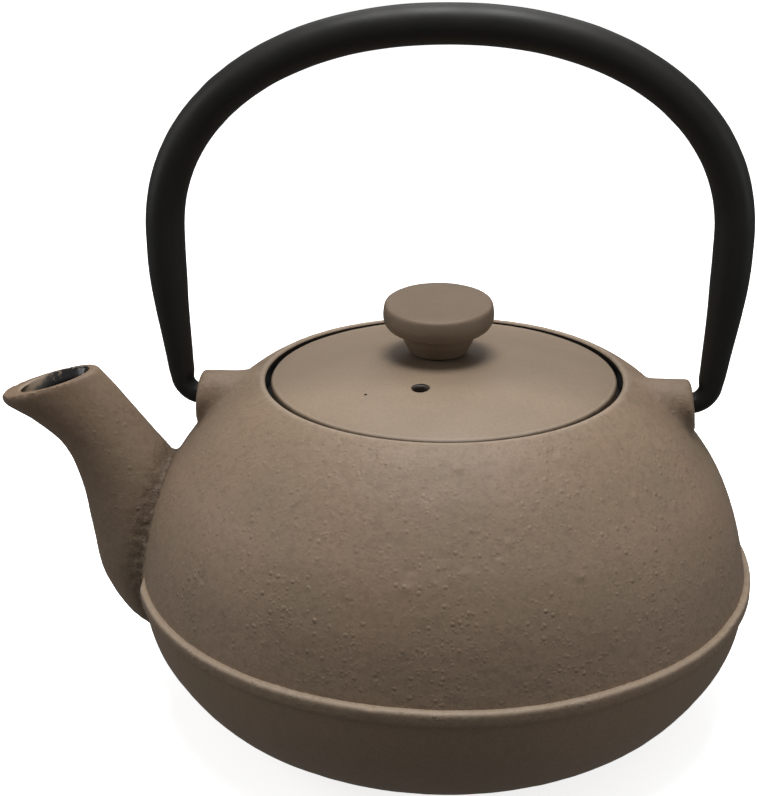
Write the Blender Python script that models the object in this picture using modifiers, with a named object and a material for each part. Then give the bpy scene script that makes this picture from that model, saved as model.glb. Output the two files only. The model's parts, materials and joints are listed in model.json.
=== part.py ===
"""Cast iron teapot: a cast pot with spout and lugs, a lid with a screwed-on knob,
a swinging bail handle of bent tube, and a steel tea infuser that hangs in the mouth.

Frame: metres, +Z up, origin at the centre of the flat base. The spout points along -X
and the handle swings about a line along X, through the two lugs.
"""
import bmesh
import bpy
import math
from mathutils import Matrix, Vector

MM = 0.001
GAP = 0.3 * MM                     # clearance between pieces that touch

# pot
BASE_RADIUS = 47.0 * MM
BASE_THICKNESS = 4.6 * MM
BAND_RADIUS = 75.2 * MM            # raised band around the widest part
BAND_TOP = 36.8 * MM
BAND_BOTTOM = 33.0 * MM
BAND_EDGE = 0.6 * MM               # chamfer of the band's edges
MOUTH_TOP = 83.6 * MM
MOUTH_RADIUS = 42.4 * MM           # recess that the lid drops into
LEDGE_RADIUS = 38.5 * MM           # clear opening below the ledge
LEDGE_TOP = 79.2 * MM
LEDGE_BOTTOM = 76.6 * MM
MOUTH_LAND = 43.4 * MM             # radius where the flat rim turns down into the shoulder
FLOOR_RADIUS = 44.0 * MM           # flat floor inside
POT_STEPS = 56
CUTTER_TOP = 95.0 * MM             # cutters for the mouth and the lid end well above the pot

# lugs and the line that the handle swings about
HINGE_HEIGHT = 77.3 * MM
LUG_HEIGHT = 77.0 * MM
LUG_RADIUS = 6.1 * MM
LUG_INNER_END = 44.5 * MM
LUG_FACE = 59.2 * MM
LUG_FACE_SLOPE = 0.12              # outward draft of the end face, per unit of height
LUG_EDGE = 2.4 * MM
SOCKET_RADIUS = 3.3 * MM
SOCKET_END = 50.2 * MM

# lid, knob and its screw
LID_RADIUS = 41.1 * MM
LID_EDGE_TOP = 83.3 * MM
LID_CROWN = 89.0 * MM
LID_THICKNESS = 3.2 * MM
SKIRT_OUTER = 31.4 * MM
SKIRT_WALL = 2.6 * MM
SKIRT_DEPTH = 6.0 * MM
LID_EDGE = 0.9 * MM                # rounding of the lid's upper edge
VENT_RADIUS = 1.9 * MM
VENT_PLACE = Vector((-4.4, -20.7, 0.0)) * MM
LID_STEPS = 44
KNOB_OFFSET = -1.2 * MM            # the knob stands a little off the lid's centre
KNOB_TOP = 12.2 * MM               # heights are above the knob's foot
KNOB_DISH = 0.45 * MM              # hollow of the top at its middle
KNOB_LAND_RADIUS = 11.6 * MM       # where the dished top meets the rolled edge
KNOB_NECK = 5.3 * MM
KNOB_NECK_RADIUS = 8.8 * MM
KNOB_FOOT_RADIUS = 6.7 * MM
KNOB_WAIST = (8.2 * MM, 2.9 * MM)  # radius and height of a point on the flared stem
HOLE_PAST_TIP = 0.8 * MM
SCREW_RADIUS = 2.0 * MM
SCREW_TIP = 6.8 * MM               # reach of the screw above the knob's foot
SCREW_HEAD_RADIUS = 3.6 * MM
SCREW_HEAD_HEIGHT = 2.2 * MM
SCREW_HEAD_EDGE = 1.2 * MM         # rounding of the pan head
SCREW_POINT = 0.5 * MM             # chamfer at the screw's tip
WASHER_RADIUS = 5.2 * MM
WASHER_THICKNESS = 1.0 * MM
WASHER_SLACK = 0.4 * MM            # below the vault, which curves down towards the washer's rim

# handle
ARCH_HALF_SPAN = 65.6 * MM
ARCH_RISE = 48.3 * MM
ARCH_START = 40.0 * MM             # height of the arch's springing above the hinge
ARCH_POWER = 2.15                  # a little squarer than an ellipse
ARCH_LEAN = 0.8 * MM               # how far the hand-bent arch leans away from the spout
TUBE_RADIUS = 4.85 * MM
HOOK_RADIUS = 2.7 * MM
HOOK_BEND = 5.0 * MM
HOOK_BEND_CENTRE = 58.1 * MM       # x where the bend ends and the straight hook begins
HOOK_END = 51.0 * MM
HOOK_STRAIGHT = 3.5 * MM           # length of the straight stretch in the socket
BEND_ANGLES = (0, 16, 32, 48, 64, 78)
TUBE_WALL = 1.4 * MM
BORE_REACH = 2.0 * MM              # the bore's cutter runs this far past the open ends

# infuser
INFUSER_RADIUS = 33.4 * MM
INFUSER_FLANGE_RADIUS = 40.4 * MM
INFUSER_SHEET = 0.7 * MM
INFUSER_COLLAR = 7.0 * MM
INFUSER_BOTTOM = 27.0 * MM
INFUSER_BAND = 5.0 * MM
INFUSER_BAND_LIP = 3.0 * MM        # how far the band folds in under the base
INFUSER_BAND_EDGE = 0.6 * MM
MESH_WALL = 0.49 * MM
MESH_FLOOR = 0.42 * MM
MESH_TOP_DROP = 1.0 * MM           # mesh ends this far below the rim
MESH_LOW_RISE = 1.6 * MM           # and this far above the band's underside
INFUSER_STEPS = 40


# ---------------------------------------------------------------- helpers

def smooth_curve(points, steps):
    """Catmull-Rom curve through the points, given as tuples of any length."""
    rows = [Vector(p) for p in points]
    rows = [2 * rows[0] - rows[1]] + rows + [2 * rows[-1] - rows[-2]]
    out = []
    for a, b, c, d in zip(rows, rows[1:], rows[2:], rows[3:]):
        for i in range(steps):
            t = i / steps
            out.append(0.5 * (2 * b + (c - a) * t + (2 * a - 5 * b + 4 * c - d) * t ** 2
                              + (3 * b - a - 3 * c + d) * t ** 3))
    out.append(rows[-2])
    return out


def arc(centre, radius, start, end, steps):
    """Points (r, z) on an arc, with its angles in degrees from the outward direction."""
    angles = [math.radians(start + (end - start) * i / steps) for i in range(steps + 1)]
    return [(centre[0] + radius * math.cos(a), centre[1] + radius * math.sin(a)) for a in angles]


def collection(name):
    group = bpy.data.collections.new(name)
    bpy.context.scene.collection.children.link(group)
    return group


def material(name, colour, roughness, metallic):
    mat = bpy.data.materials.new(name)
    mat.use_nodes = True
    shader = mat.node_tree.nodes["Principled BSDF"]
    shader.inputs["Base Color"].default_value = (*colour, 1.0)
    shader.inputs["Roughness"].default_value = roughness
    shader.inputs["Metallic"].default_value = metallic
    mat.diffuse_color = (*colour, 1.0)
    return mat


def add_object(name, mesh, group):
    obj = bpy.data.objects.new(name, mesh)
    group.objects.link(obj)
    return obj


def finish(obj, mat, sharp_degrees=35.0):
    obj.data.materials.append(mat)
    obj.data.shade_smooth()
    if obj.data.polygons:
        obj.data.set_sharp_from_angle(angle=math.radians(sharp_degrees))


def turned(name, profile, steps, group, ring=False):
    """Solid of revolution about Z. The profile runs down its outer side; a ring's closes."""
    count = len(profile)
    edges = [(i, i + 1) for i in range(count - 1)]
    if ring:
        edges.append((count - 1, 0))
    mesh = bpy.data.meshes.new(name)
    mesh.from_pydata([(r, 0.0, z) for r, z in profile], edges, [])
    obj = add_object(name, mesh, group)
    screw = obj.modifiers.new("Turn", 'SCREW')
    screw.axis = 'Z'
    screw.steps = steps
    screw.render_steps = steps
    screw.use_merge_vertices = True
    screw.merge_threshold = 0.00001
    return obj


def as_cutter(obj):
    obj.hide_render = True
    obj.display_type = 'WIRE'
    return obj


def boolean(obj, operation, other):
    mod = obj.modifiers.new(operation.title() + " " + other.name, 'BOOLEAN')
    mod.operation = operation
    mod.object = as_cutter(other)
    mod.solver = 'EXACT'
    return mod


def cylinder(name, radius, start, end, group, sides=28):
    """Cylinder from the point start to the point end."""
    start = Vector(start)
    axis = Vector(end) - start
    mesh = bpy.data.meshes.new(name)
    bm = bmesh.new()
    bmesh.ops.create_cone(bm, cap_ends=True, segments=sides, radius1=radius, radius2=radius,
                          depth=axis.length)
    bmesh.ops.translate(bm, verts=bm.verts, vec=(0.0, 0.0, axis.length / 2))
    bm.to_mesh(mesh)
    bm.free()
    obj = add_object(name, mesh, group)
    obj.matrix_world = Matrix.Translation(start) @ axis.to_track_quat('Z', 'Y').to_matrix().to_4x4()
    return obj


def loft(name, sections, group, sides=20):
    """Tube of oval sections across the XZ plane.

    A section is (x, z) of its upper side, (x, z) of its lower side and its half width in Y.
    """
    mesh = bpy.data.meshes.new(name)
    bm = bmesh.new()
    rings = []
    for ux, uz, lx, lz, half_width in sections:
        centre = Vector(((ux + lx) / 2, 0.0, (uz + lz) / 2))
        upward = Vector((ux, 0.0, uz)) - centre
        sideways = Vector((0.0, half_width, 0.0))
        angles = [2 * math.pi * i / sides for i in range(sides)]
        rings.append([bm.verts.new(centre + math.cos(a) * upward + math.sin(a) * sideways)
                      for a in angles])
    for low, high in zip(rings, rings[1:]):
        for i in range(sides):
            j = (i + 1) % sides
            bm.faces.new((low[i], low[j], high[j], high[i]))
    bm.faces.new(rings[0])
    bm.faces.new(rings[-1])
    bmesh.ops.recalc_face_normals(bm, faces=bm.faces)
    bm.to_mesh(mesh)
    bm.free()
    return add_object(name, mesh, group)


def swept_tube(name, points, radii, group, sides_level=2):
    """Round tube along a route, as a mesh with welded caps, from a bevelled curve."""
    curve = bpy.data.curves.new(name + "_route", 'CURVE')
    curve.dimensions = '3D'
    curve.bevel_depth = 1.0
    curve.bevel_resolution = sides_level
    curve.use_fill_caps = True
    spline = curve.splines.new('POLY')
    spline.points.add(len(points) - 1)
    for point, place, radius in zip(spline.points, points, radii):
        point.co = (*place, 1.0)
        point.radius = radius
    guide = add_object(name + "_route", curve, group)
    bpy.context.view_layer.update()
    evaluated = guide.evaluated_get(bpy.context.evaluated_depsgraph_get())
    mesh = bpy.data.meshes.new_from_object(evaluated)
    bm = bmesh.new()
    bm.from_mesh(mesh)
    bmesh.ops.remove_doubles(bm, verts=bm.verts, dist=0.00001)
    bmesh.ops.recalc_face_normals(bm, faces=bm.faces)
    bm.to_mesh(mesh)
    bm.free()
    obj = add_object(name, mesh, group)
    obj.matrix_world = guide.matrix_world
    bpy.data.objects.remove(guide)
    return obj


# ---------------------------------------------------------------- pot

def pot_outer_profile():
    """Outer side of the pot, from the axis at the top down to the axis at the base."""
    shoulder = smooth_curve([(44.6, 83.2), (47.6, 81.4), (51.0, 78.8), (56.2, 73.9),
                             (61.3, 67.6), (66.4, 59.9), (70.6, 49.6), (73.4, 37.6)], 2)
    bowl = smooth_curve([(73.9, 32.2), (72.8, 25.0), (69.7, 18.0), (63.8, 9.9),
                         (55.8, 4.0), (47.6, 0.7)], 2)
    band = [(BAND_RADIUS - BAND_EDGE, BAND_TOP), (BAND_RADIUS, BAND_TOP - BAND_EDGE),
            (BAND_RADIUS, BAND_BOTTOM + BAND_EDGE)]
    land = [(0.0, MOUTH_TOP), (MOUTH_LAND, MOUTH_TOP)]
    return (land + [tuple(p * MM) for p in shoulder] + band
            + [tuple(p * MM) for p in bowl] + [(BASE_RADIUS, 0.0), (0.0, 0.0)])


def pot_inner_profile():
    """Hollow of the pot with its ledge and mouth, as one turned cutter."""
    wall = smooth_curve([(47.2, 76.0), (52.2, 71.8), (57.8, 65.4), (62.6, 57.8),
                         (66.8, 48.0), (69.6, 36.0), (69.0, 25.0), (65.2, 17.4),
                         (58.0, 10.2), (50.0, 6.0)], 2)
    return ([(0.0, CUTTER_TOP), (MOUTH_RADIUS, CUTTER_TOP), (MOUTH_RADIUS, LEDGE_TOP),
             (LEDGE_RADIUS, LEDGE_TOP), (LEDGE_RADIUS, LEDGE_BOTTOM)]
            + [tuple(p * MM) for p in wall]
            + [(FLOOR_RADIUS, BASE_THICKNESS), (0.0, BASE_THICKNESS)])


# upper side (x, z), lower side (x, z), half width; from the mouth to the root, in mm
SPOUT_SECTIONS = [
    (-84.8, 83.9, -108.2, 76.4, 7.4),
    (-83.0, 82.4, -107.2, 73.8, 7.7),
    (-79.4, 78.4, -100.8, 70.0, 8.2),
    (-74.6, 72.6, -94.2, 63.4, 9.2),
    (-69.6, 66.4, -90.4, 53.8, 10.8),
    (-63.0, 58.0, -88.6, 42.0, 12.6),
    (-56.0, 48.0, -85.8, 29.0, 13.6),
    (-52.0, 38.0, -78.0, 15.6, 13.0),
    (-50.0, 30.0, -66.0, 12.0, 11.0),
]
LIP_AT_TIP = 4.8                   # wall at the pouring tip, thinner opposite and at the sides
LIP_INSIDE = 2.6
SPOUT_WALL = 3.2
TIP_THICKENING = 0.6               # extra wall per section, over the two sections below the lip
PAST_LIP = (-1.0, 3.0, -1.6, 3.0, 0.2)
INTO_HOLLOW = (14.0, -3.0, 18.0, 4.0, -1.0)
ROOT_SECTIONS = 2                  # sections inside the body, where the hollow is open anyway


def spout_bore_sections():
    """Passage of the spout: each outer section narrowed by its wall, run out past both ends."""
    bore = []
    for index, (ux, uz, lx, lz, half_width) in enumerate(SPOUT_SECTIONS[:-ROOT_SECTIONS]):
        across = Vector((lx - ux, lz - uz)).normalized()
        high_wall = LIP_INSIDE if index == 0 else SPOUT_WALL
        low_wall = LIP_AT_TIP if index == 0 else SPOUT_WALL + TIP_THICKENING * max(0, 2 - index)
        bore.append((ux + across.x * high_wall, uz + across.y * high_wall,
                     lx - across.x * low_wall, lz - across.y * low_wall, half_width - high_wall))
    above = [value + shift for value, shift in zip(bore[0], PAST_LIP)]
    inside = [value + shift for value, shift in zip(bore[-1], INTO_HOLLOW)]
    return [above] + bore + [inside]


def scaled_sections(sections):
    return [tuple(value * MM for value in section) for section in sections]


def lug(side, cutters):
    """Round boss along X whose outer end is drafted and has a rounded edge."""
    name = "lug_left" if side < 0 else "lug_right"
    boss = cylinder(name, LUG_RADIUS, (side * LUG_INNER_END, 0.0, LUG_HEIGHT),
                    (side * LUG_FACE, 0.0, LUG_HEIGHT), cutters, sides=24)
    for vertex in boss.data.vertices:
        place = boss.matrix_world @ vertex.co
        if abs(place.x) > LUG_FACE - GAP:
            place.x -= side * LUG_FACE_SLOPE * (place.z - LUG_HEIGHT)
            vertex.co = boss.matrix_world.inverted() @ place
    bevel = boss.modifiers.new("Edge", 'BEVEL')
    bevel.width = LUG_EDGE
    bevel.segments = 3
    bevel.limit_method = 'ANGLE'
    return boss


def make_pot(parts, cutters, iron):
    pot = turned("pot_body", pot_outer_profile(), POT_STEPS, parts)
    sections = [tuple(p) for p in smooth_curve(scaled_sections(SPOUT_SECTIONS), 2)]
    boolean(pot, 'UNION', loft("spout_outside", sections, cutters, sides=22))
    for side in (-1, 1):
        boolean(pot, 'UNION', lug(side, cutters))
    boolean(pot, 'DIFFERENCE', turned("pot_hollow", pot_inner_profile(), POT_STEPS, cutters))
    passage = [tuple(p) for p in smooth_curve(scaled_sections(spout_bore_sections()), 2)]
    boolean(pot, 'DIFFERENCE', loft("spout_passage", passage, cutters, sides=18))
    for side in (-1, 1):
        name = "socket_left" if side < 0 else "socket_right"
        outside = LUG_FACE + LUG_RADIUS
        boolean(pot, 'DIFFERENCE', cylinder(name, SOCKET_RADIUS, (side * SOCKET_END, 0.0, HINGE_HEIGHT),
                                            (side * outside, 0.0, HINGE_HEIGHT), cutters, sides=20))
    finish(pot, iron)
    return pot


# ---------------------------------------------------------------- lid

def crown(radius):
    """Height of the lid's top at a radius."""
    return LID_CROWN - (LID_CROWN - LID_EDGE_TOP) * (radius / LID_RADIUS) ** 2


def lid_profile():
    underside = LEDGE_TOP + GAP + INFUSER_SHEET + GAP
    top = [(LID_RADIUS * f, crown(LID_RADIUS * f)) for f in (0.0, 0.18, 0.36, 0.54, 0.7, 0.84, 0.94)]
    rim = arc((LID_RADIUS - LID_EDGE, LID_EDGE_TOP - LID_EDGE), LID_EDGE, 75, 0, 3)
    skirt_inner = SKIRT_OUTER - SKIRT_WALL
    below = [(LID_RADIUS, underside), (SKIRT_OUTER, underside),
             (SKIRT_OUTER, underside - SKIRT_DEPTH), (skirt_inner, underside - SKIRT_DEPTH)]
    vault = [(skirt_inner * f, crown(skirt_inner * f) - LID_THICKNESS) for f in (1.0, 0.75, 0.5, 0.25)]
    return top + rim + below + vault + [(0.0, LID_CROWN - LID_THICKNESS)]


def make_lid(parts, cutters, iron):
    lid = turned("lid", lid_profile(), LID_STEPS, parts)
    low = LID_EDGE_TOP - 2 * SKIRT_DEPTH
    holes = (("vent", VENT_PLACE, VENT_RADIUS), ("screw_hole", Vector((KNOB_OFFSET, 0.0, 0.0)),
                                                SCREW_RADIUS + GAP))
    for name, place, radius in holes:
        boolean(lid, 'DIFFERENCE', cylinder(name, radius, (place.x, place.y, low),
                                            (place.x, place.y, CUTTER_TOP), cutters, sides=20))
    finish(lid, iron)
    return lid


def make_knob(parts, cutters, iron):
    """Flat-topped round knob on a flared stem, with a blind hole for its screw."""
    dish = [(KNOB_LAND_RADIUS * f, KNOB_TOP - KNOB_DISH * (1 - f * f)) for f in (0.0, 0.35, 0.7, 1.0)]
    edge = [tuple(p * MM) for p in smooth_curve([(12.4, 11.7), (12.9, 10.3), (13.1, 8.8),
                                                 (12.5, 7.2), (11.0, 6.0)], 2)]
    stem = smooth_curve([(KNOB_NECK_RADIUS, KNOB_NECK), KNOB_WAIST, (KNOB_FOOT_RADIUS, 0.0)], 2)
    profile = dish + edge + [tuple(p) for p in stem] + [(0.0, 0.0)]
    knob = turned("lid_knob", profile, 28, parts)
    knob.location = (KNOB_OFFSET, 0.0, LID_CROWN + GAP)
    foot = knob.location.z
    hole = cylinder("knob_hole", SCREW_RADIUS + GAP, (KNOB_OFFSET, 0.0, foot - LID_THICKNESS),
                    (KNOB_OFFSET, 0.0, foot + SCREW_TIP + HOLE_PAST_TIP), cutters, sides=20)
    boolean(knob, 'DIFFERENCE', hole)
    finish(knob, iron)
    return knob


def make_knob_fixing(parts, steel):
    """Washer and pan-head screw under the lid."""
    under_lid = LID_CROWN - LID_THICKNESS - WASHER_SLACK
    half = WASHER_THICKNESS / 2
    bore = SCREW_RADIUS + GAP
    ring = [(bore, half), (WASHER_RADIUS, half), (WASHER_RADIUS, -half), (bore, -half)]
    washer = turned("knob_washer", ring, 28, parts, ring=True)
    washer.location = (KNOB_OFFSET, 0.0, under_lid - half)
    finish(washer, steel)

    seat = under_lid - WASHER_THICKNESS - GAP
    tip = LID_CROWN + GAP + SCREW_TIP - seat
    head_low = arc((SCREW_HEAD_RADIUS - SCREW_HEAD_EDGE, SCREW_HEAD_EDGE - SCREW_HEAD_HEIGHT),
                   SCREW_HEAD_EDGE, 0, -90, 3)
    profile = ([(0.0, tip), (SCREW_RADIUS - SCREW_POINT, tip), (SCREW_RADIUS, tip - SCREW_POINT),
                (SCREW_RADIUS, 0.0), (SCREW_HEAD_RADIUS, 0.0)] + head_low
               + [(0.0, -SCREW_HEAD_HEIGHT)])
    screw = turned("knob_screw", profile, 20, parts)
    screw.location = (KNOB_OFFSET, 0.0, seat)
    finish(screw, steel)
    return washer, screw


# ---------------------------------------------------------------- handle

def handle_side():
    """Route (x, height above the hinge) from the hook's end up to the arch's springing."""
    hook = [(HOOK_END, 0.0), (HOOK_END + HOOK_STRAIGHT, 0.0)]
    bend = [(HOOK_BEND_CENTRE + HOOK_BEND * math.sin(math.radians(a)),
             HOOK_BEND * (1 - math.cos(math.radians(a)))) for a in BEND_ANGLES]
    leg = smooth_curve([(63.05 * MM, 5.2 * MM), (63.9 * MM, 13.7 * MM), (64.8 * MM, 22.4 * MM),
                        (65.45 * MM, 32.0 * MM), (ARCH_HALF_SPAN, ARCH_START)], 2)
    return hook + bend + [tuple(p) for p in leg]


def handle_arch(steps=26):
    points = []
    for i in range(1, steps):
        angle = math.pi * i / steps
        across = math.copysign(abs(math.cos(angle)) ** (2 / ARCH_POWER), math.cos(angle))
        rise = math.sin(angle) ** (2 / ARCH_POWER)
        points.append((ARCH_HALF_SPAN * across, ARCH_START + ARCH_RISE * rise))
    return points


def handle_radius(height):
    """Tube radius at a height above the hinge: swaged down to the hook at both ends."""
    stations = [(0.0, HOOK_RADIUS), (5.0 * MM, 3.1 * MM), (13.7 * MM, 3.5 * MM),
                (22.4 * MM, 4.05 * MM), (32.0 * MM, 4.6 * MM), (ARCH_START + 12.0 * MM, TUBE_RADIUS)]
    for (low, r_low), (high, r_high) in zip(stations, stations[1:]):
        if height <= high:
            return r_low + (r_high - r_low) * (height - low) / (high - low)
    return TUBE_RADIUS


def make_handle(parts, cutters, coat):
    """Bail of bent tube, open at both ends; its parent empty is on the hinge line."""
    right = handle_side()
    left = [(-x, z) for x, z in reversed(right)]
    route = right + handle_arch() + left
    radii = [handle_radius(z) for _, z in route]
    height = ARCH_START + ARCH_RISE
    points = [(x + ARCH_LEAN * z / height, 0.0, z) for x, z in route]
    handle = swept_tube("handle", points, radii, parts, sides_level=3)

    reach = Vector((-BORE_REACH, 0.0, 0.0))
    inner = [Vector(points[0]) + reach] + points[1:-1] + [Vector(points[-1]) - reach]
    bore = swept_tube("handle_bore", inner, [r - TUBE_WALL for r in radii], cutters, sides_level=2)
    boolean(handle, 'DIFFERENCE', bore)
    finish(handle, coat)

    pivot = bpy.data.objects.new("handle_hinge", None)
    parts.objects.link(pivot)
    pivot.location = (0.0, 0.0, HINGE_HEIGHT)
    handle.parent = pivot
    bore.parent = pivot
    return handle


# ---------------------------------------------------------------- infuser

def make_infuser(parts, steel, mesh_steel):
    """Rim with a drawn collar, a mesh wall in it, and a crimped band around the mesh base."""
    flange_low = LEDGE_TOP + GAP
    flange_top = flange_low + INFUSER_SHEET
    collar_low = flange_low - INFUSER_COLLAR
    inner = INFUSER_RADIUS - INFUSER_SHEET
    rim = [(inner, flange_top), (INFUSER_FLANGE_RADIUS, flange_top),
           (INFUSER_FLANGE_RADIUS, flange_low), (INFUSER_RADIUS, flange_low),
           (INFUSER_RADIUS, collar_low), (inner, collar_low)]
    rim_piece = turned("infuser_rim", rim, INFUSER_STEPS, parts, ring=True)
    finish(rim_piece, steel)

    outer = inner - GAP
    sheet = outer - MESH_WALL
    wall_top = flange_low - MESH_TOP_DROP
    wall_low = INFUSER_BOTTOM + MESH_LOW_RISE
    wall = [(sheet, wall_top), (outer, wall_top), (outer, wall_low), (sheet, wall_low)]
    wall_piece = turned("infuser_wall", wall, INFUSER_STEPS, parts, ring=True)
    finish(wall_piece, mesh_steel)

    lip = outer - INFUSER_BAND_LIP
    band_top = INFUSER_BOTTOM + INFUSER_BAND
    floor = INFUSER_BOTTOM + INFUSER_SHEET
    band = [(outer + GAP, band_top), (INFUSER_RADIUS, band_top),
            (INFUSER_RADIUS, INFUSER_BOTTOM + INFUSER_BAND_EDGE),
            (INFUSER_RADIUS - INFUSER_BAND_EDGE, INFUSER_BOTTOM),
            (lip, INFUSER_BOTTOM), (lip, floor), (outer + GAP, floor)]
    band_piece = turned("infuser_base_band", band, INFUSER_STEPS, parts, ring=True)
    finish(band_piece, steel)

    disc_low = floor + GAP
    disc_top = disc_low + MESH_FLOOR
    disc = [(0.0, disc_top), (outer - GAP, disc_top), (outer - GAP, disc_low), (0.0, disc_low)]
    disc_piece = turned("infuser_base_mesh", disc, INFUSER_STEPS, parts)
    finish(disc_piece, mesh_steel)


# ---------------------------------------------------------------- teapot

def main():
    for obj in list(bpy.data.objects):
        bpy.data.objects.remove(obj)
    parts = collection("teapot")
    cutters = collection("teapot_cutters")
    iron = material("taupe_cast_iron", (0.21, 0.165, 0.125), 0.62, 0.1)
    lid_iron = material("taupe_cast_iron_lid", (0.25, 0.20, 0.155), 0.55, 0.1)
    coat = material("black_powder_coat", (0.012, 0.012, 0.012), 0.42, 0.0)
    steel = material("stainless_steel", (0.60, 0.60, 0.58), 0.28, 1.0)
    mesh_steel = material("stainless_mesh", (0.50, 0.50, 0.49), 0.38, 1.0)
    make_pot(parts, cutters, iron)
    make_lid(parts, cutters, lid_iron)
    make_knob(parts, cutters, lid_iron)
    make_knob_fixing(parts, steel)
    make_handle(parts, cutters, coat)
    make_infuser(parts, steel, mesh_steel)


main()
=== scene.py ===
# %% [markdown]
# # A cast iron teapot with a swinging bail
# The real pot is cast iron, sprayed outside with matte taupe enamel and glazed black inside.
# It has a dropped-in lid with a screwed-on knob, a bail of bent black tube, and a steel infuser.
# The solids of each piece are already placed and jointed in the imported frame. This lesson
# gives every piece the shape and the finish that a person sees: rounded cast edges, soft
# fillets, pebbled enamel, bent tube and woven wire.

import json
import math

import bmesh
import bpy
import numpy as np
from mathutils import Matrix, Vector, noise
from mathutils.bvhtree import BVHTree


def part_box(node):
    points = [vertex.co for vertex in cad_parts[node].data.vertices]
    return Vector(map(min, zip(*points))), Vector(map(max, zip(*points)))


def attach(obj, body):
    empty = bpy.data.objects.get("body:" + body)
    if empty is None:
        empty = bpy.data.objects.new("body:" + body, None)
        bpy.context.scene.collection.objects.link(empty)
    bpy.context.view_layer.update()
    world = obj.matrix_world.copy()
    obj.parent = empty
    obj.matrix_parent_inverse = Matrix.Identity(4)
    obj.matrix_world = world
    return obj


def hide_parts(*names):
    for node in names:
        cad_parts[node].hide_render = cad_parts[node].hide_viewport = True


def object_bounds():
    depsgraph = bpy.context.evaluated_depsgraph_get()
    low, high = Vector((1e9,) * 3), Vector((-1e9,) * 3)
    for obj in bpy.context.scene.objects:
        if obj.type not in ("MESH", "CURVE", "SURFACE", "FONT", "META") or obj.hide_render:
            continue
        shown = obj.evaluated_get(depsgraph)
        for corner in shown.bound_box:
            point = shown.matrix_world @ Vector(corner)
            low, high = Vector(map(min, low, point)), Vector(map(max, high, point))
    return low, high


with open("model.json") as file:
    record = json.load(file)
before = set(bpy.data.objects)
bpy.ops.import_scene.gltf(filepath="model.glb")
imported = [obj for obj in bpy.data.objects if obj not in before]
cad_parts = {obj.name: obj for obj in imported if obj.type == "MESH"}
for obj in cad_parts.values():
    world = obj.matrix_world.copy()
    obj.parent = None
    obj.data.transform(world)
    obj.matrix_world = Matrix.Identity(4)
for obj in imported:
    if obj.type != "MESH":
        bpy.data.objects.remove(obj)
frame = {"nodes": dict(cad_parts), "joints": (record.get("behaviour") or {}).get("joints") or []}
cad_low, cad_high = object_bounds()
print("nodes:", sorted(frame["nodes"]))
print("box in mm:", [round(v * 1000, 1) for v in (*cad_low, *cad_high)])

# %% [markdown]
# ## Sizes that the pieces share
# Everything that has to meet another piece is read from the frame: the hinge line, the lid's
# radius and the heights of the bail and the rim. Outlines are lists of points in millimetres,
# as a pattern maker would write them down, and MM turns them into Blender's metres.

# %% Shared sizes
MM = 0.001
_, pot_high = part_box("pot_body")
lid_low, lid_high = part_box("lid")
knob_low, knob_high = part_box("lid_knob")
_, handle_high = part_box("handle")
hinge = next(j for j in frame["joints"] if j["name"] == "handle_swing")
HINGE_HEIGHT = hinge["pos_m"][2] / MM
BAND_RADIUS = pot_high.y / MM
LID_RADIUS = lid_high.y / MM
MOUTH_TOP = 83.6
MOUTH_RADIUS = 42.4
LEDGE_TOP = 79.2
KNOB_X = (knob_low.x + knob_high.x) / 2 / MM
KNOB_FOOT = knob_low.z / MM
print(f"hinge at {HINGE_HEIGHT:.1f}, band {BAND_RADIUS:.1f}")
print(f"lid {LID_RADIUS:.1f}, knob foot {KNOB_FOOT:.1f}")

# %% [markdown]
# ## Curves and turned shapes
# Most of a teapot is turned: an outline spun about the upright axis. Blender's Screw modifier
# or a Spin would do it. Here the rings are written straight into a mesh, because the same
# points are also cut, blended and measured later. A Catmull-Rom curve passes through every
# point it is given, so the outline lists stay short and easy to change.

# %% Smooth curve through points
def smooth_curve(points, steps):
    """Catmull-Rom curve through points of any length."""
    rows = [np.array(p, float) for p in points]
    rows = [2 * rows[0] - rows[1]] + rows + [2 * rows[-1] - rows[-2]]
    out = []
    for a, b, c, d in zip(rows, rows[1:], rows[2:], rows[3:]):
        for i in range(steps):
            t = i / steps
            bend = (2 * a - 5 * b + 4 * c - d) * t ** 2 + (3 * b - a - 3 * c + d) * t ** 3
            out.append(0.5 * (2 * b + (c - a) * t + bend))
    out.append(rows[-2])
    return [tuple(p) for p in out]


def arc(centre, radius, start, end, steps):
    """Points on an arc; its angles are in degrees from the outward direction."""
    turns = [math.radians(start + (end - start) * i / steps) for i in range(steps + 1)]
    return [(centre[0] + radius * math.cos(a), centre[1] + radius * math.sin(a)) for a in turns]


# %% Piece from rings of points
def piece_from(name, verts, faces, smooth=True):
    """New object from points in millimetres, with its faces turned outwards."""
    mesh = bpy.data.meshes.new(name)
    mesh.from_pydata([Vector(v) * MM for v in verts], [], faces)
    bm = bmesh.new()
    bm.from_mesh(mesh)
    bmesh.ops.recalc_face_normals(bm, faces=bm.faces)
    bm.to_mesh(mesh)
    bm.free()
    if smooth:
        mesh.shade_smooth()
    obj = bpy.data.objects.new(name, mesh)
    bpy.context.scene.collection.objects.link(obj)
    return obj


def bridge(rings, closed=False):
    """Faces between neighbouring rings of point numbers; a ring of one point is a pole."""
    faces = []
    count = max(len(ring) for ring in rings)
    pairs = list(zip(rings, rings[1:]))
    if closed:
        pairs.append((rings[-1], rings[0]))
    for low, high in pairs:
        for i in range(count):
            j = (i + 1) % count
            corners = [low[i % len(low)], low[j % len(low)], high[j % len(high)], high[i % len(high)]]
            corners = list(dict.fromkeys(corners))
            if len(corners) > 2:
                faces.append(corners)
    return faces


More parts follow.
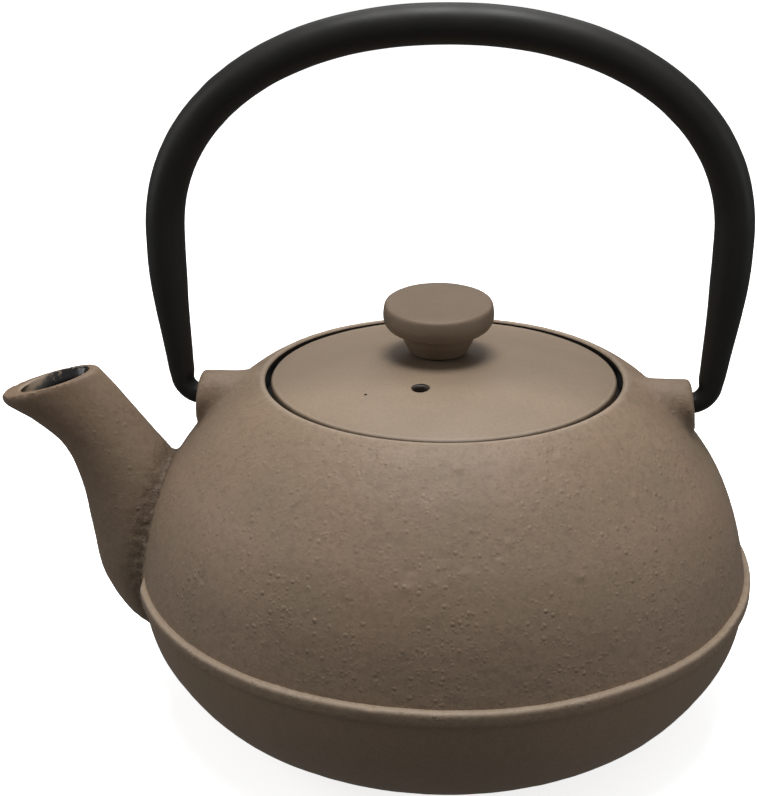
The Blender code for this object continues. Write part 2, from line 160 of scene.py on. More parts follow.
# %% Turned piece
def turned(name, outline, steps, closed=False):
    """Solid of revolution about Z from (radius, height) points."""
    verts = []
    rings = []
    for radius, height in outline:
        if radius < 1e-6:
            rings.append([len(verts)])
            verts.append((0.0, 0.0, height))
            continue
        rings.append(list(range(len(verts), len(verts) + steps)))
        for i in range(steps):
            a = 2 * math.pi * i / steps
            verts.append((radius * math.cos(a), radius * math.sin(a), height))
    return piece_from(name, verts, bridge(rings, closed))


def along_x(piece, side, start, height):
    """Lays a turned piece on its side, so that it points outwards along X."""
    turn = Matrix.Rotation(side * math.pi / 2, 4, 'Y')
    piece.data.transform(Matrix.Translation(Vector((side * start, 0.0, height)) * MM) @ turn)
    return piece


# %% [markdown]
# ## Node helpers
# Each finish is a small network of shader nodes. Two helpers keep the cells readable: one adds
# a node with its values, the other makes an empty node group with named inputs and outputs.
# A group is the right tool for an effect that several finishes share, because it is built
# once and each finish then sets its own grain size or colour on it.

# %% Node helpers
def add(tree, kind, values=None, **settings):
    """Adds a node; values are constants or other nodes' outputs for its inputs."""
    made = tree.nodes.new(kind)
    for key, value in settings.items():
        setattr(made, key, value)
    for key, value in (values or {}).items():
        socket = made.inputs[key]
        if isinstance(value, bpy.types.NodeSocket):
            tree.links.new(value, socket)
        else:
            socket.default_value = value
    return made


def math_node(tree, operation, a, b=0.0, clamp=False):
    """One Math node's output."""
    made = add(tree, "ShaderNodeMath", {0: a, 1: b}, operation=operation, use_clamp=clamp)
    return made.outputs[0]


def ranged(tree, value, low, high, out_low=0.0, out_high=1.0):
    """A value mapped from one range to another, held at its ends."""
    made = add(tree, "ShaderNodeMapRange", {"Value": value, "From Min": low, "From Max": high,
                                            "To Min": out_low, "To Max": out_high})
    return made.outputs["Result"]


def noise_value(tree, place, scale, detail, roughness=0.5):
    """A Noise texture's value at a place."""
    made = add(tree, "ShaderNodeTexNoise", {"Vector": place, "Scale": scale, "Detail": detail,
                                            "Roughness": roughness})
    return made.outputs["Fac"]


def mixed(tree, factor, first, second):
    """Two colours mixed by a factor."""
    made = tree.nodes.new("ShaderNodeMix")
    made.data_type = 'RGBA'
    for socket, value in ((made.inputs[0], factor), (made.inputs[6], first), (made.inputs[7], second)):
        if isinstance(value, bpy.types.NodeSocket):
            tree.links.new(value, socket)
        else:
            socket.default_value = value
    return made.outputs[2]


# %% Empty node group
def new_group(name, inputs, outputs):
    """Node group with named sockets; returns it with its input and output nodes."""
    group = bpy.data.node_groups.new(name, 'ShaderNodeTree')
    for label, kind, default in inputs:
        socket = group.interface.new_socket(name=label, in_out='INPUT', socket_type=kind)
        if default is not None:
            socket.default_value = default
    for label, kind in outputs:
        group.interface.new_socket(name=label, in_out='OUTPUT', socket_type=kind)
    return group, group.nodes.new("NodeGroupInput").outputs, group.nodes.new("NodeGroupOutput").inputs


def use_group(tree, group, values):
    """Places a group in a material with its own values."""
    return add(tree, "ShaderNodeGroup", values, node_tree=group).outputs


FLOAT = 'NodeSocketFloat'
VECTOR = 'NodeSocketVector'
COLOUR = 'NodeSocketColor'

# %% [markdown]
# ## Cast grain
# Sand leaves a pebbled skin on cast iron, and sprayed enamel softens it but never hides it.
# A single noise looks like leather, so three layers are used: soft rolling unevenness, single
# rounded grains in some cells of two Voronoi patterns, and a few scattered pinholes. The group
# puts out a height for the Bump node and a mask of the hollows, where paint looks darker.

# %% Cast grain group
grain_group, g_in, g_out = new_group(
    "cast_grain",
    [("Place", VECTOR, None), ("Grain Size", FLOAT, 1.0), ("Pebbles", FLOAT, 1.0),
     ("Rolling", FLOAT, 0.5), ("Pinholes", FLOAT, 0.5)],
    [("Height", FLOAT), ("Hollows", FLOAT)])
COARSE_WIDTH = 0.34
COARSE_SHARE = 0.7
FINE_WIDTH = 0.42
FINE_SHARE = 0.8
FINE_RATIO = 1.7
FINE_HEIGHT = 0.5
tree = grain_group
fineness = math_node(tree, 'DIVIDE', 1000.0, g_in["Grain Size"])


def sand_grains(scale, width, share):
    """Rounded bumps in some of the cells of a Voronoi pattern."""
    cells = add(tree, "ShaderNodeTexVoronoi", {"Vector": g_in["Place"], "Scale": scale,
                                               "Randomness": 1.0}).outputs
    slope = math_node(tree, 'POWER', math_node(tree, 'DIVIDE', cells["Distance"], width), 2.0)
    dome = math_node(tree, 'SUBTRACT', 1.0, slope, clamp=True)
    luck = add(tree, "ShaderNodeSeparateColor", {"Color": cells["Color"]}).outputs["Red"]
    size = ranged(tree, luck, 1.0 - share, 1.0, 0.0, 1.0)
    return math_node(tree, 'MULTIPLY', dome, size)


where = noise_value(tree, g_in["Place"], 75.0, 2.0)
pebble_amount = math_node(tree, 'MULTIPLY', ranged(tree, where, 0.35, 0.65, 0.3, 1.0), g_in["Pebbles"])
coarse = sand_grains(fineness, COARSE_WIDTH, COARSE_SHARE)
fine = sand_grains(math_node(tree, 'MULTIPLY', fineness, FINE_RATIO), FINE_WIDTH, FINE_SHARE)
pebbles = math_node(tree, 'ADD', coarse, math_node(tree, 'MULTIPLY', fine, FINE_HEIGHT))
pebbles = math_node(tree, 'MULTIPLY', pebbles, pebble_amount)
crumb = noise_value(tree, g_in["Place"], fineness, 3.0, 0.6)
rolling = noise_value(tree, g_in["Place"], 260.0, 1.0)
rolling = math_node(tree, 'MULTIPLY', rolling, g_in["Rolling"])
hole = add(tree, "ShaderNodeTexVoronoi", {"Vector": g_in["Place"], "Scale": 105.0,
                                          "Randomness": 1.0}).outputs["Distance"]
hole_mask = ranged(tree, hole, 0.03, 0.075, 1.0, 0.0)
hole_depth = math_node(tree, 'MULTIPLY', hole_mask, g_in["Pinholes"])
height = math_node(tree, 'ADD', math_node(tree, 'MULTIPLY', crumb, 0.5), rolling)
height = math_node(tree, 'ADD', height, pebbles)
tree.links.new(math_node(tree, 'SUBTRACT', height, hole_depth), g_out["Height"])
low_spots = ranged(tree, crumb, 0.38, 0.5, 1.0, 0.0)
tree.links.new(math_node(tree, 'MAXIMUM', low_spots, hole_depth, clamp=True), g_out["Hollows"])
print("cast grain group has", len(tree.nodes), "nodes")

# %% [markdown]
# ## Paint mottle
# Matte enamel is never one even colour. It has clouds a few centimetres across where the coat
# is thicker, and a fine speckle from the spray. The group mixes two given tints with a soft
# cloud, then darkens and lightens it a little with the speckle.

# %% Paint mottle group
mottle_group, m_in, m_out = new_group(
    "paint_mottle",
    [("Place", VECTOR, None), ("Colour", COLOUR, None), ("Cloud Colour", COLOUR, None),
     ("Cloud Size", FLOAT, 30.0), ("Speckle", FLOAT, 0.3)],
    [("Colour", COLOUR), ("Cloud", FLOAT)])
tree = mottle_group
cloud_scale = math_node(tree, 'DIVIDE', 1000.0, m_in["Cloud Size"])
cloud = noise_value(tree, m_in["Place"], cloud_scale, 3.0, 0.55)
cloud = ranged(tree, cloud, 0.35, 0.65)
base = mixed(tree, cloud, m_in["Colour"], m_in["Cloud Colour"])
spray = noise_value(tree, m_in["Place"], 1500.0, 2.0)
spray = ranged(tree, spray, 0.3, 0.7, -0.5, 0.5)
shade = math_node(tree, 'ADD', math_node(tree, 'MULTIPLY', spray, m_in["Speckle"]), 1.0)
speckled = add(tree, "ShaderNodeVectorMath", {0: base, 1: shade}, operation='MULTIPLY').outputs[0]
tree.links.new(speckled, m_out["Colour"])
tree.links.new(cloud, m_out["Cloud"])
print("paint mottle group has", len(tree.nodes), "nodes")

# %% [markdown]
# ## Ring wear and painted light
# Enamel is thinner on a turned edge, such as the mouth, the band or the lid's rim, and it is
# rubbed there too. All of those edges are rings about the pot's axis, so the group needs only
# the ring's radius, height and width, and it breaks the line up with noise. The same mask also
# paints a highlight along the band's top edge and a dark line of painted shade in the gap
# beside the lid's rim.

# %% Ring wear and painted light group
ring_group, r_in, r_out = new_group(
    "ring_wear_and_painted_light",
    [("Place", VECTOR, None), ("Radius", FLOAT, 40.0), ("Height", FLOAT, 80.0),
     ("Width", FLOAT, 1.0), ("Broken", FLOAT, 0.4)],
    [("Ring Mask", FLOAT)])
tree = ring_group
split = add(tree, "ShaderNodeSeparateXYZ", {"Vector": r_in["Place"]}).outputs
flat = add(tree, "ShaderNodeCombineXYZ", {"X": split["X"], "Y": split["Y"]}).outputs[0]
reach = add(tree, "ShaderNodeVectorMath", {0: flat}, operation='LENGTH').outputs["Value"]
reach_mm = math_node(tree, 'MULTIPLY', reach, 1000.0)
height_mm = math_node(tree, 'MULTIPLY', split["Z"], 1000.0)
off_r = math_node(tree, 'SUBTRACT', reach_mm, r_in["Radius"])
off_z = math_node(tree, 'SUBTRACT', height_mm, r_in["Height"])
square = math_node(tree, 'ADD', math_node(tree, 'MULTIPLY', off_r, off_r),
                   math_node(tree, 'MULTIPLY', off_z, off_z))
away = math_node(tree, 'DIVIDE', math_node(tree, 'SQRT', square), r_in["Width"])
ragged = noise_value(tree, r_in["Place"], 420.0, 3.0)
ragged = math_node(tree, 'MULTIPLY', ranged(tree, ragged, 0.3, 0.7), r_in["Broken"])
near = ranged(tree, math_node(tree, 'ADD', away, ragged), 0.2, 1.2, 1.0, 0.0)
tree.links.new(near, r_out["Ring Mask"])
print("ring wear group has", len(tree.nodes), "nodes")

# %% [markdown]
# ## Taupe enamel on the casting
# The pot's outside is matte taupe. Above the band the grain is strong, below it the casting
# was ground smoother and keeps faint upright strokes. One material does both, with a soft
# mask made from the height above the table. The hollows of the grain are a little darker. The
# rings of the mouth and band are a little paler, as rubbed paint is, and the band's top edge
# is also a painted highlight. Along the spout's seam a dark colour paints the shade in the
# crease; a "seam" value stored on the mesh says where that is. The spout's upper part is
# painted darker and browner.

# %% Start of a material
def new_finish(name):
    """Material with a Principled shader; returns it with its tree, shader and place."""
    finish = bpy.data.materials.new(name)
    finish.use_nodes = True
    tree = finish.node_tree
    place = add(tree, "ShaderNodeTexCoord").outputs["Object"]
    return finish, tree, tree.nodes["Principled BSDF"], place


def bump_into(tree, shader, height, distance_mm, strength=1.0):
    """Feeds a height through a Bump node into the shader."""
    bump = add(tree, "ShaderNodeBump", {"Height": height, "Distance": distance_mm * MM,
                                        "Strength": strength})
    tree.links.new(bump.outputs["Normal"], shader.inputs["Normal"])


TAUPE = (0.217, 0.160, 0.110, 1.0)
POT_TAUPE = (0.212, 0.147, 0.099, 1.0)
POT_CLOUD = (0.194, 0.141, 0.094, 1.0)
SPOUT_TAUPE = (0.120, 0.070, 0.040, 1.0)
KNOB_TAUPE = (0.165, 0.118, 0.079, 1.0)
VENT_SHADE_TAUPE = (0.030, 0.021, 0.014, 1.0)
TAUPE_PALE = (0.30, 0.24, 0.18, 1.0)
TAUPE_DARK = (0.12, 0.086, 0.058, 1.0)
PAINTED_SHADE_COLOUR = (0.062, 0.040, 0.024, 1.0)

# %% Pot's outside
GROUND_LINE = (0.0325, 0.0345)
SPOUT_TO_BODY = (-0.088, -0.066)
BROWN_SPOUT_X = (-0.086, -0.070)
BROWN_SPOUT_Z = (0.038, 0.055)
BAND_TOP_EDGE = 36.6
pot_enamel, tree, shader, place = new_finish("pot_taupe_enamel")
where_on_pot = add(tree, "ShaderNodeSeparateXYZ", {"Vector": place}).outputs
height_here = where_on_pot["Z"]
along = where_on_pot["X"]
upper = ranged(tree, height_here, *GROUND_LINE)
pebbly = ranged(tree, along, *SPOUT_TO_BODY, 0.35, 1.15)
grain = use_group(tree, grain_group, {"Place": place, "Grain Size": 1.7, "Pebbles": pebbly,
                                      "Rolling": 0.6, "Pinholes": 0.6})
mottle = use_group(tree, mottle_group, {"Place": place, "Colour": POT_TAUPE, "Cloud Colour": POT_CLOUD,
                                        "Cloud Size": 24.0, "Speckle": 0.14})
dark_share = math_node(tree, 'MULTIPLY', grain["Hollows"], ranged(tree, upper, 0.0, 1.0, 0.08, 0.28))
colour = mixed(tree, dark_share, mottle["Colour"], TAUPE_DARK)
mouth_ring = use_group(tree, ring_group, {"Place": place, "Radius": MOUTH_RADIUS + 0.7,
                                          "Height": MOUTH_TOP, "Width": 0.9, "Broken": 0.4})
# The band's top edge is paler for rubbed paint and also as a painted highlight along its upper edge.
band_wear_and_highlight = use_group(tree, ring_group, {"Place": place, "Radius": BAND_RADIUS - 0.5,
                                         "Height": BAND_TOP_EDGE, "Width": 1.5, "Broken": 0.5})
pale_wear_and_highlight = math_node(tree, 'MAXIMUM', mouth_ring["Ring Mask"], band_wear_and_highlight["Ring Mask"])
colour = mixed(tree, math_node(tree, 'MULTIPLY', pale_wear_and_highlight, 0.55), colour, TAUPE_PALE)
# The spout's upper part is painted darker and browner.
on_spout = math_node(tree, 'MULTIPLY', ranged(tree, along, *BROWN_SPOUT_X, 0.42, 0.0),
                     ranged(tree, height_here, *BROWN_SPOUT_Z))
colour = mixed(tree, on_spout, colour, SPOUT_TAUPE)
# A dark colour along the spout's seam, broken up by noise, paints the shade in the crease.
seam = add(tree, "ShaderNodeAttribute", attribute_name="seam").outputs["Fac"]
seam_noise = noise_value(tree, place, 900.0, 3.0, 0.7)
seam_painted_shade = math_node(tree, 'MULTIPLY', seam, ranged(tree, seam_noise, 0.35, 0.6, 0.3, 0.95))
colour = mixed(tree, seam_painted_shade, colour, PAINTED_SHADE_COLOUR)
tree.links.new(colour, shader.inputs["Base Color"])
print("mouth and band rings are paler on the pot")

# %% Strokes and roughness of the pot's outside
stroke_place = add(tree, "ShaderNodeMapping", {"Vector": place, "Scale": (1.0, 1.0, 0.08)}).outputs[0]
strokes = noise_value(tree, stroke_place, 420.0, 3.0)
low_height = math_node(tree, 'ADD', math_node(tree, 'MULTIPLY', grain["Height"], 0.22),
                       math_node(tree, 'MULTIPLY', strokes, 0.5))
height = add(tree, "ShaderNodeMix", {"Factor": upper, "A": low_height, "B": grain["Height"]})
seam_height = math_node(tree, 'MULTIPLY', seam, math_node(tree, 'MULTIPLY', seam_noise, -2.6))
bump_into(tree, shader, math_node(tree, 'ADD', height.outputs[0], seam_height), 0.17, 0.9)
rough = ranged(tree, mottle["Cloud"], 0.0, 1.0, 0.56, 0.64)
tree.links.new(rough, shader.inputs["Roughness"])
shader.inputs["Specular IOR Level"].default_value = 0.35

# %% [markdown]
# ## Taupe enamel on the lid and the knob
# The lid and the knob get the same kind of paint on a finer casting, so their grain is
# shallower and they look smoother. The knob's colour is a little darker and browner. The walls
# of the vent, the pinhole and the screw hole are nearly black, painted shade inside the holes.
# The lid's rim shows a rubbed ring, with a dark line of painted shade just outside it, in the
# gap between the lid and the mouth.

# %% Lid and knob finish
CLOUD_SHADE = 0.94
GAP_SHADE_OUTWARDS = 0.7
GAP_SHADE_WIDTH = 0.75
GAP_SHADE_STRENGTH = 0.92


def lid_finish(name, tint, grain_size, bump_mm, rings):
    """Smooth taupe enamel with rubbed rings, each given as (radius, height, width), and a dark line of
    painted shade just outside each ring.
    """
    finish, tree, shader, place = new_finish(name)
    grain = use_group(tree, grain_group, {"Place": place, "Grain Size": grain_size, "Pebbles": 0.35,
                                          "Rolling": 0.9, "Pinholes": 0.25})
    cloud = [part * CLOUD_SHADE for part in tint[:3]] + [1.0]
    mottle = use_group(tree, mottle_group, {"Place": place, "Colour": tint, "Cloud Colour": cloud,
                                            "Cloud Size": 18.0, "Speckle": 0.10})
    colour = mixed(tree, math_node(tree, 'MULTIPLY', grain["Hollows"], 0.10), mottle["Colour"], TAUPE_DARK)
    for radius, height, width in rings:
        ring = use_group(tree, ring_group, {"Place": place, "Radius": radius, "Height": height,
                                            "Width": width, "Broken": 0.6})
        colour = mixed(tree, math_node(tree, 'MULTIPLY', ring["Ring Mask"], 0.4), colour, TAUPE_PALE)
        # Just outside each ring a dark line paints the shade in the gap between the lid and the mouth.
        gap_shade = use_group(tree, ring_group, {"Place": place, "Radius": radius + GAP_SHADE_OUTWARDS,
                                             "Height": height - 0.2, "Width": GAP_SHADE_WIDTH,
                                             "Broken": 0.25})
        gap_shade_share = math_node(tree, 'MULTIPLY', gap_shade["Ring Mask"], GAP_SHADE_STRENGTH)
        colour = mixed(tree, gap_shade_share, colour, PAINTED_SHADE_COLOUR)
    tree.links.new(colour, shader.inputs["Base Color"])
    tree.links.new(ranged(tree, mottle["Cloud"], 0.0, 1.0, 0.52, 0.6), shader.inputs["Roughness"])
    bump_into(tree, shader, grain["Height"], bump_mm, 0.7)
    shader.inputs["Specular IOR Level"].default_value = 0.35
    return finish


lid_rim = (LID_RADIUS - 0.7, 83.2, 0.7)
lid_enamel = lid_finish("lid_taupe_enamel", TAUPE, 0.9, 0.05, [lid_rim])
knob_enamel = lid_finish("knob_taupe_enamel", KNOB_TAUPE, 0.8, 0.04, [])
# The vent's finish is nearly black: it paints the shade inside the vent, the pinhole and the screw hole.
vent_shade_enamel = lid_finish("vent_painted_shade", VENT_SHADE_TAUPE, 0.8, 0.04, [])

# %% [markdown]
# ## Black enamel inside
# The inside is glazed with glossy black enamel. At the spout's mouth the taupe spray drifts in
# over it, first covering it, then as a thin grey mist with a ragged edge and a few flakes. The
# mask is the depth below the mouth of the spout, measured along a slanted axis and broken up
# by noise. At the spout's tip the spray reaches deepest.

# %% Inside finish
SPOUT_AXIS = Vector((-0.32, 0.0, 0.95)).normalized()
SPOUT_MOUTH = Vector((-96.5, 0.0, 80.15))
GLAZE_DARK = (0.008, 0.008, 0.009, 1.0)
GLAZE_BRIGHT = (0.016, 0.016, 0.017, 1.0)
MIST_GREY = (0.085, 0.075, 0.062, 1.0)
inside_enamel, tree, shader, place = new_finish("inside_black_enamel")
from_mouth = add(tree, "ShaderNodeVectorMath", {0: place, 1: SPOUT_MOUTH * MM},
                 operation='SUBTRACT').outputs[0]
depth = add(tree, "ShaderNodeVectorMath", {0: from_mouth, 1: SPOUT_AXIS},
            operation='DOT_PRODUCT').outputs["Value"]
depth_mm = math_node(tree, 'MULTIPLY', depth, -1000.0)
drift = noise_value(tree, place, 240.0, 4.0, 0.65)
drift_mm = ranged(tree, drift, 0.2, 0.8, -1.3, 1.3)
ragged_depth = math_node(tree, 'ADD', depth_mm, drift_mm)
x_here = add(tree, "ShaderNodeSeparateXYZ", {"Vector": place}).outputs["X"]
near_spout = ranged(tree, x_here, -0.080, -0.078, 1.0, 0.0)
tip_reach = ranged(tree, x_here, -0.1020, -0.0975, 3.5, -0.4)
ragged_depth = math_node(tree, 'SUBTRACT', ragged_depth, tip_reach)
near_tip = math_node(tree, 'MULTIPLY', near_spout, ranged(tree, x_here, -0.100, -0.093, 1.0, 0.12))
mist = math_node(tree, 'MULTIPLY', ranged(tree, ragged_depth, 0.2, 4.0, 1.0, 0.0), near_tip)
cover = math_node(tree, 'MULTIPLY', ranged(tree, ragged_depth, -0.4, 0.8, 1.0, 0.0), near_spout)
flakes = ranged(tree, noise_value(tree, place, 620.0, 3.0, 0.7), 0.56, 0.6)
near_edge = math_node(tree, 'MULTIPLY', near_spout, ranged(tree, depth_mm, 0.8, 2.2, 1.0, 0.0))
flakes = math_node(tree, 'MULTIPLY', flakes, near_edge)
glaze = noise_value(tree, place, 160.0, 2.0)
black = mixed(tree, glaze, GLAZE_DARK, GLAZE_BRIGHT)
misted = mixed(tree, math_node(tree, 'MULTIPLY', mist, 0.55), black, MIST_GREY)
colour = mixed(tree, math_node(tree, 'MAXIMUM', cover, flakes), misted, TAUPE)
tree.links.new(colour, shader.inputs["Base Color"])
misted_rough = ranged(tree, mist, 0.0, 1.0, 0.16, 0.6)
rough = math_node(tree, 'MAXIMUM', misted_rough, math_node(tree, 'MULTIPLY', cover, 0.6))
tree.links.new(rough, shader.inputs["Roughness"])
bump_into(tree, shader, glaze, 0.25, 0.5)
print("spray drift starts at the spout's mouth:", tuple(round(v, 1) for v in SPOUT_MOUTH))

# %% [markdown]
# ## Black coat on the bail
# The bail is steel tube with a satin black powder coat. The coat flows out into a fine orange
# peel, and the tube under it keeps slight dents from bending, so the highlights waver.

# %% Handle finish
COAT_DARK = (0.0112, 0.0108, 0.0097, 1.0)
COAT_BRIGHT = (0.0160, 0.0150, 0.0130, 1.0)
handle_coat, tree, shader, place = new_finish("handle_black_coat")
peel = noise_value(tree, place, 900.0, 2.0)
dents = noise_value(tree, place, 110.0, 2.0)
coat_cloud = noise_value(tree, place, 60.0, 3.0)
coat_height = math_node(tree, 'ADD', math_node(tree, 'MULTIPLY', peel, 0.3), dents)
colour = mixed(tree, coat_cloud, COAT_DARK, COAT_BRIGHT)
tree.links.new(colour, shader.inputs["Base Color"])
tree.links.new(ranged(tree, coat_cloud, 0.35, 0.65, 0.44, 0.54), shader.inputs["Roughness"])
shader.inputs["Specular IOR Level"].default_value = 0.22
bump_into(tree, shader, coat_height, 0.12, 0.6)

# %% [markdown]
# ## Plain steel
# The infuser and the knob's screw are bare steel. Pressed stainless sheet is bright with fine
# lines around the axis from the spinning lathe, and the wire of the mesh is duller. Both are
# the same group of drawn lines, stretched along the direction the metal was worked in.

# %% Drawn lines group
lines_group, l_in, l_out = new_group(
    "drawn_lines",
    [("Place", VECTOR, None), ("Fineness", FLOAT, 900.0), ("Depth", FLOAT, 0.5)],
    [("Height", FLOAT), ("Shade", FLOAT)])
tree = lines_group
stretched = add(tree, "ShaderNodeMapping", {"Vector": l_in["Place"], "Scale": (0.06, 0.06, 1.0)}).outputs[0]
lines = noise_value(tree, stretched, l_in["Fineness"], 3.0)
tree.links.new(math_node(tree, 'MULTIPLY', lines, l_in["Depth"]), l_out["Height"])
tree.links.new(ranged(tree, lines, 0.3, 0.7), l_out["Shade"])


def steel_finish(name, dark, bright, fineness, low_rough, high_rough):
    """Bare steel with drawn lines."""
    finish, tree, shader, place = new_finish(name)
    lines = use_group(tree, lines_group, {"Place": place, "Fineness": fineness, "Depth": 0.6})
    tree.links.new(mixed(tree, lines["Shade"], dark, bright), shader.inputs["Base Color"])
    tree.links.new(ranged(tree, lines["Shade"], 0.0, 1.0, low_rough, high_rough),
                   shader.inputs["Roughness"])
    shader.inputs["Metallic"].default_value = 1.0
    bump_into(tree, shader, lines["Height"], 0.02, 0.5)
    return finish


sheet_steel = steel_finish("infuser_sheet_steel", (0.50, 0.50, 0.49, 1.0), (0.66, 0.66, 0.64, 1.0),
                           900.0, 0.22, 0.34)
wire_steel = steel_finish("infuser_wire_steel", (0.40, 0.40, 0.39, 1.0), (0.58, 0.58, 0.56, 1.0),
                          2600.0, 0.3, 0.42)
screw_steel = steel_finish("screw_plain_steel", (0.45, 0.45, 0.43, 1.0), (0.6, 0.6, 0.58, 1.0),
                           1800.0, 0.26, 0.4)
print("finishes:", sorted(m.name for m in bpy.data.materials if m.use_nodes))

# %% [markdown]
# ## Outlines of the casting
# The pot is one casting: a turned body, a lofted spout and two lugs. These lists are its
# pattern. The body's outline runs from the mouth over the shoulder to the flat base, without
# the band, which is added later as its own crisp ring. A spout section is given by its upper
# side, its lower side and half its width.

# %% Pattern of the casting
SHOULDER = [(44.6, 83.2), (47.6, 81.4), (51.0, 78.8), (56.2, 73.9), (61.3, 67.6), (66.4, 59.9),
            (70.6, 49.6), (73.4, 37.6), (73.9, 32.2), (72.8, 25.0), (69.7, 18.0), (63.8, 9.9),
            (55.8, 4.0), (47.6, 0.7)]
HOLLOW_WALL = [(47.2, 76.0), (52.2, 71.8), (57.8, 65.4), (62.6, 57.8), (66.8, 48.0), (69.6, 36.0),
               (69.0, 25.0), (65.2, 17.4), (58.0, 10.2), (50.0, 6.0)]
MOUTH_ROUND = 0.55
LEDGE_RADIUS = 38.5
LEDGE_LOW = 76.6
FLOOR_INSIDE = 4.6
BASE_RADIUS = 47.0
SPOUT = [(-84.1, 83.5, -108.3, 76.4, 7.4), (-82.4, 81.7, -107.0, 73.9, 7.7),
         (-79.2, 77.7, -100.4, 70.2, 8.2), (-74.6, 71.4, -93.2, 63.9, 9.2),
         (-69.6, 64.8, -89.4, 54.2, 10.8), (-63.0, 56.6, -87.5, 42.2, 12.8),
         (-56.0, 47.0, -85.2, 29.6, 14.4), (-52.0, 38.0, -77.2, 17.6, 14.4),
         (-50.0, 30.0, -65.0, 13.6, 12.4)]
SPOUT_WALL = 3.2
LIP_AT_TIP = 4.8
LIP_INSIDE = 2.3
LIP_SIDE = 1.5
LUG_INNER_END = 44.5
LUG_FACE = 59.2
LUG_RADIUS = 6.1
LUG_HEIGHT = 77.0
LUG_SLOPE = 0.12
LUG_EDGE = 1.4
SOCKET_RADIUS = 3.3
SOCKET_START = 50.2
SOCKET_LENGTH = 14.0

# %% Spout and lug shapes
def lofted(name, sections, sides):
    """Tube of oval sections with closed ends."""
    verts = []
    rings = []
    for ux, uz, lx, lz, half in sections:
        centre = Vector(((ux + lx) / 2, 0.0, (uz + lz) / 2))
        upward = Vector((ux, 0.0, uz)) - centre
        rings.append(list(range(len(verts), len(verts) + sides)))
        for i in range(sides):
            a = 2 * math.pi * i / sides
            verts.append(centre + math.cos(a) * upward + math.sin(a) * Vector((0.0, half, 0.0)))
    faces = bridge(rings) + [rings[0], rings[-1]]
    return piece_from(name, verts, faces)


def grown(section, amount, sink, downward):
    """A section made larger all round and moved along the spout."""
    ux, uz, lx, lz, half = section
    across = Vector((ux - lx, uz - lz)).normalized() * amount
    return (ux + across.x + downward.x * sink, uz + across.y + downward.y * sink,
            lx - across.x + downward.x * sink, lz - across.y + downward.y * sink, half + amount)


def downward_at_lip(sections):
    """Direction from the spout's mouth down its middle."""
    (ux, uz, lx, lz, _), (vx, vz, wx, wz, _) = sections[0], sections[2]
    return Vector((vx + wx - ux - lx, vz + wz - uz - lz)).normalized()


# %% Lip of the spout, rounded
LIP_ROUND = 0.55
into_spout = downward_at_lip(SPOUT)
outside = smooth_curve(SPOUT, 5)
lip_rings = []
for degrees in (90, 68, 45, 22):
    a = math.radians(degrees)
    sink = LIP_ROUND * (1 - math.sin(a))
    lip_rings.append(grown(SPOUT[0], -LIP_ROUND * (1 - math.cos(a)), sink, into_spout))
spout_core = lofted("spout_core", lip_rings + outside[2:], 72)


def lug_core(side):
    """Round boss whose drafted outer face has a well rounded edge."""
    length = LUG_FACE - LUG_INNER_END
    edge_start = length - LUG_EDGE
    outline = ([(0.0, 0.0), (LUG_RADIUS, 0.0), (LUG_RADIUS, edge_start * 0.5)]
               + arc((LUG_RADIUS - LUG_EDGE, edge_start), LUG_EDGE, 0, 90, 8) + [(0.0, length)])
    boss = turned("lug_core", outline, 48)
    for vertex in boss.data.vertices:
        share = min(1.0, max(0.0, vertex.co.z / MM / length - 0.6) / 0.4)
        vertex.co.z += side * share * LUG_SLOPE * vertex.co.x
    return along_x(boss, side, LUG_INNER_END, LUG_HEIGHT)


land = [(0.0, MOUTH_TOP), (20.0, MOUTH_TOP), (43.4, MOUTH_TOP), (44.0, 83.5)]
body_outline = land + smooth_curve(SHOULDER, 6) + [(BASE_RADIUS, 0.0), (20.0, 0.0), (0.0, 0.0)]
body_core = turned("body_core", body_outline, 256)
lug_cores = [lug_core(-1), lug_core(1)]
print("body core", len(body_core.data.polygons), "faces; spout core", len(spout_core.data.polygons))

# %% [markdown]
# ## One skin with cast fillets
# In the mould every inside corner is filleted, so the spout and lugs flow out of the body. A
# Bevel on a Boolean seam breaks down on curved shapes. The way used here is the one that
# distance-field sculpting tools use: a voxel remesh joins the rough shapes into one even skin,
# then each point of the skin is slid onto the blend of the shapes' distances. Where two
# shapes are about equally far away the blend swells, and that swelling is the fillet.

# %% Distance to a shape
TOUCHING = 0.02 * MM


def tree_of(piece):
    """Search tree over a piece's faces."""
    bm = bmesh.new()
    bm.from_mesh(piece.data)
    tree = BVHTree.FromBMesh(bm)
    bm.free()
    return tree


def distance(tree, point):
    """Signed distance to a shape in metres, and the direction away from it."""
    place, normal, _, gap = tree.find_nearest(point)
    if gap < TOUCHING:
        return (point - place).dot(normal), normal
    away = point - place
    side = 1.0 if away.dot(normal) >= 0 else -1.0
    return side * gap, away * (side / gap)


def blended(first, second, width):
    """Smooth union of two distances, with the direction away from it."""
    low, high = (first, second) if first[0] < second[0] else (second, first)
    share = max(width - (high[0] - low[0]), 0.0) / width
    value = low[0] - share * share * width / 4
    return value, low[1] * (1 - share / 2) + high[1] * (share / 2)


# %% Slide points onto the blended shape
SPOUT_FILLET = 2.6 * MM
LUG_FILLET = 3.0 * MM
SEAM_REACH = 6.5 * MM
SEAM_EDGE = 1.8 * MM
SPOUT_ZONE_X = -40.0 * MM
LUG_ZONE = (36.0 * MM, 20.0 * MM, 60.0 * MM)
WEAKEST_PULL = 0.2
body_tree = tree_of(body_core)
spout_tree = tree_of(spout_core)
lug_trees = {-1: tree_of(lug_cores[0]), 1: tree_of(lug_cores[1])}


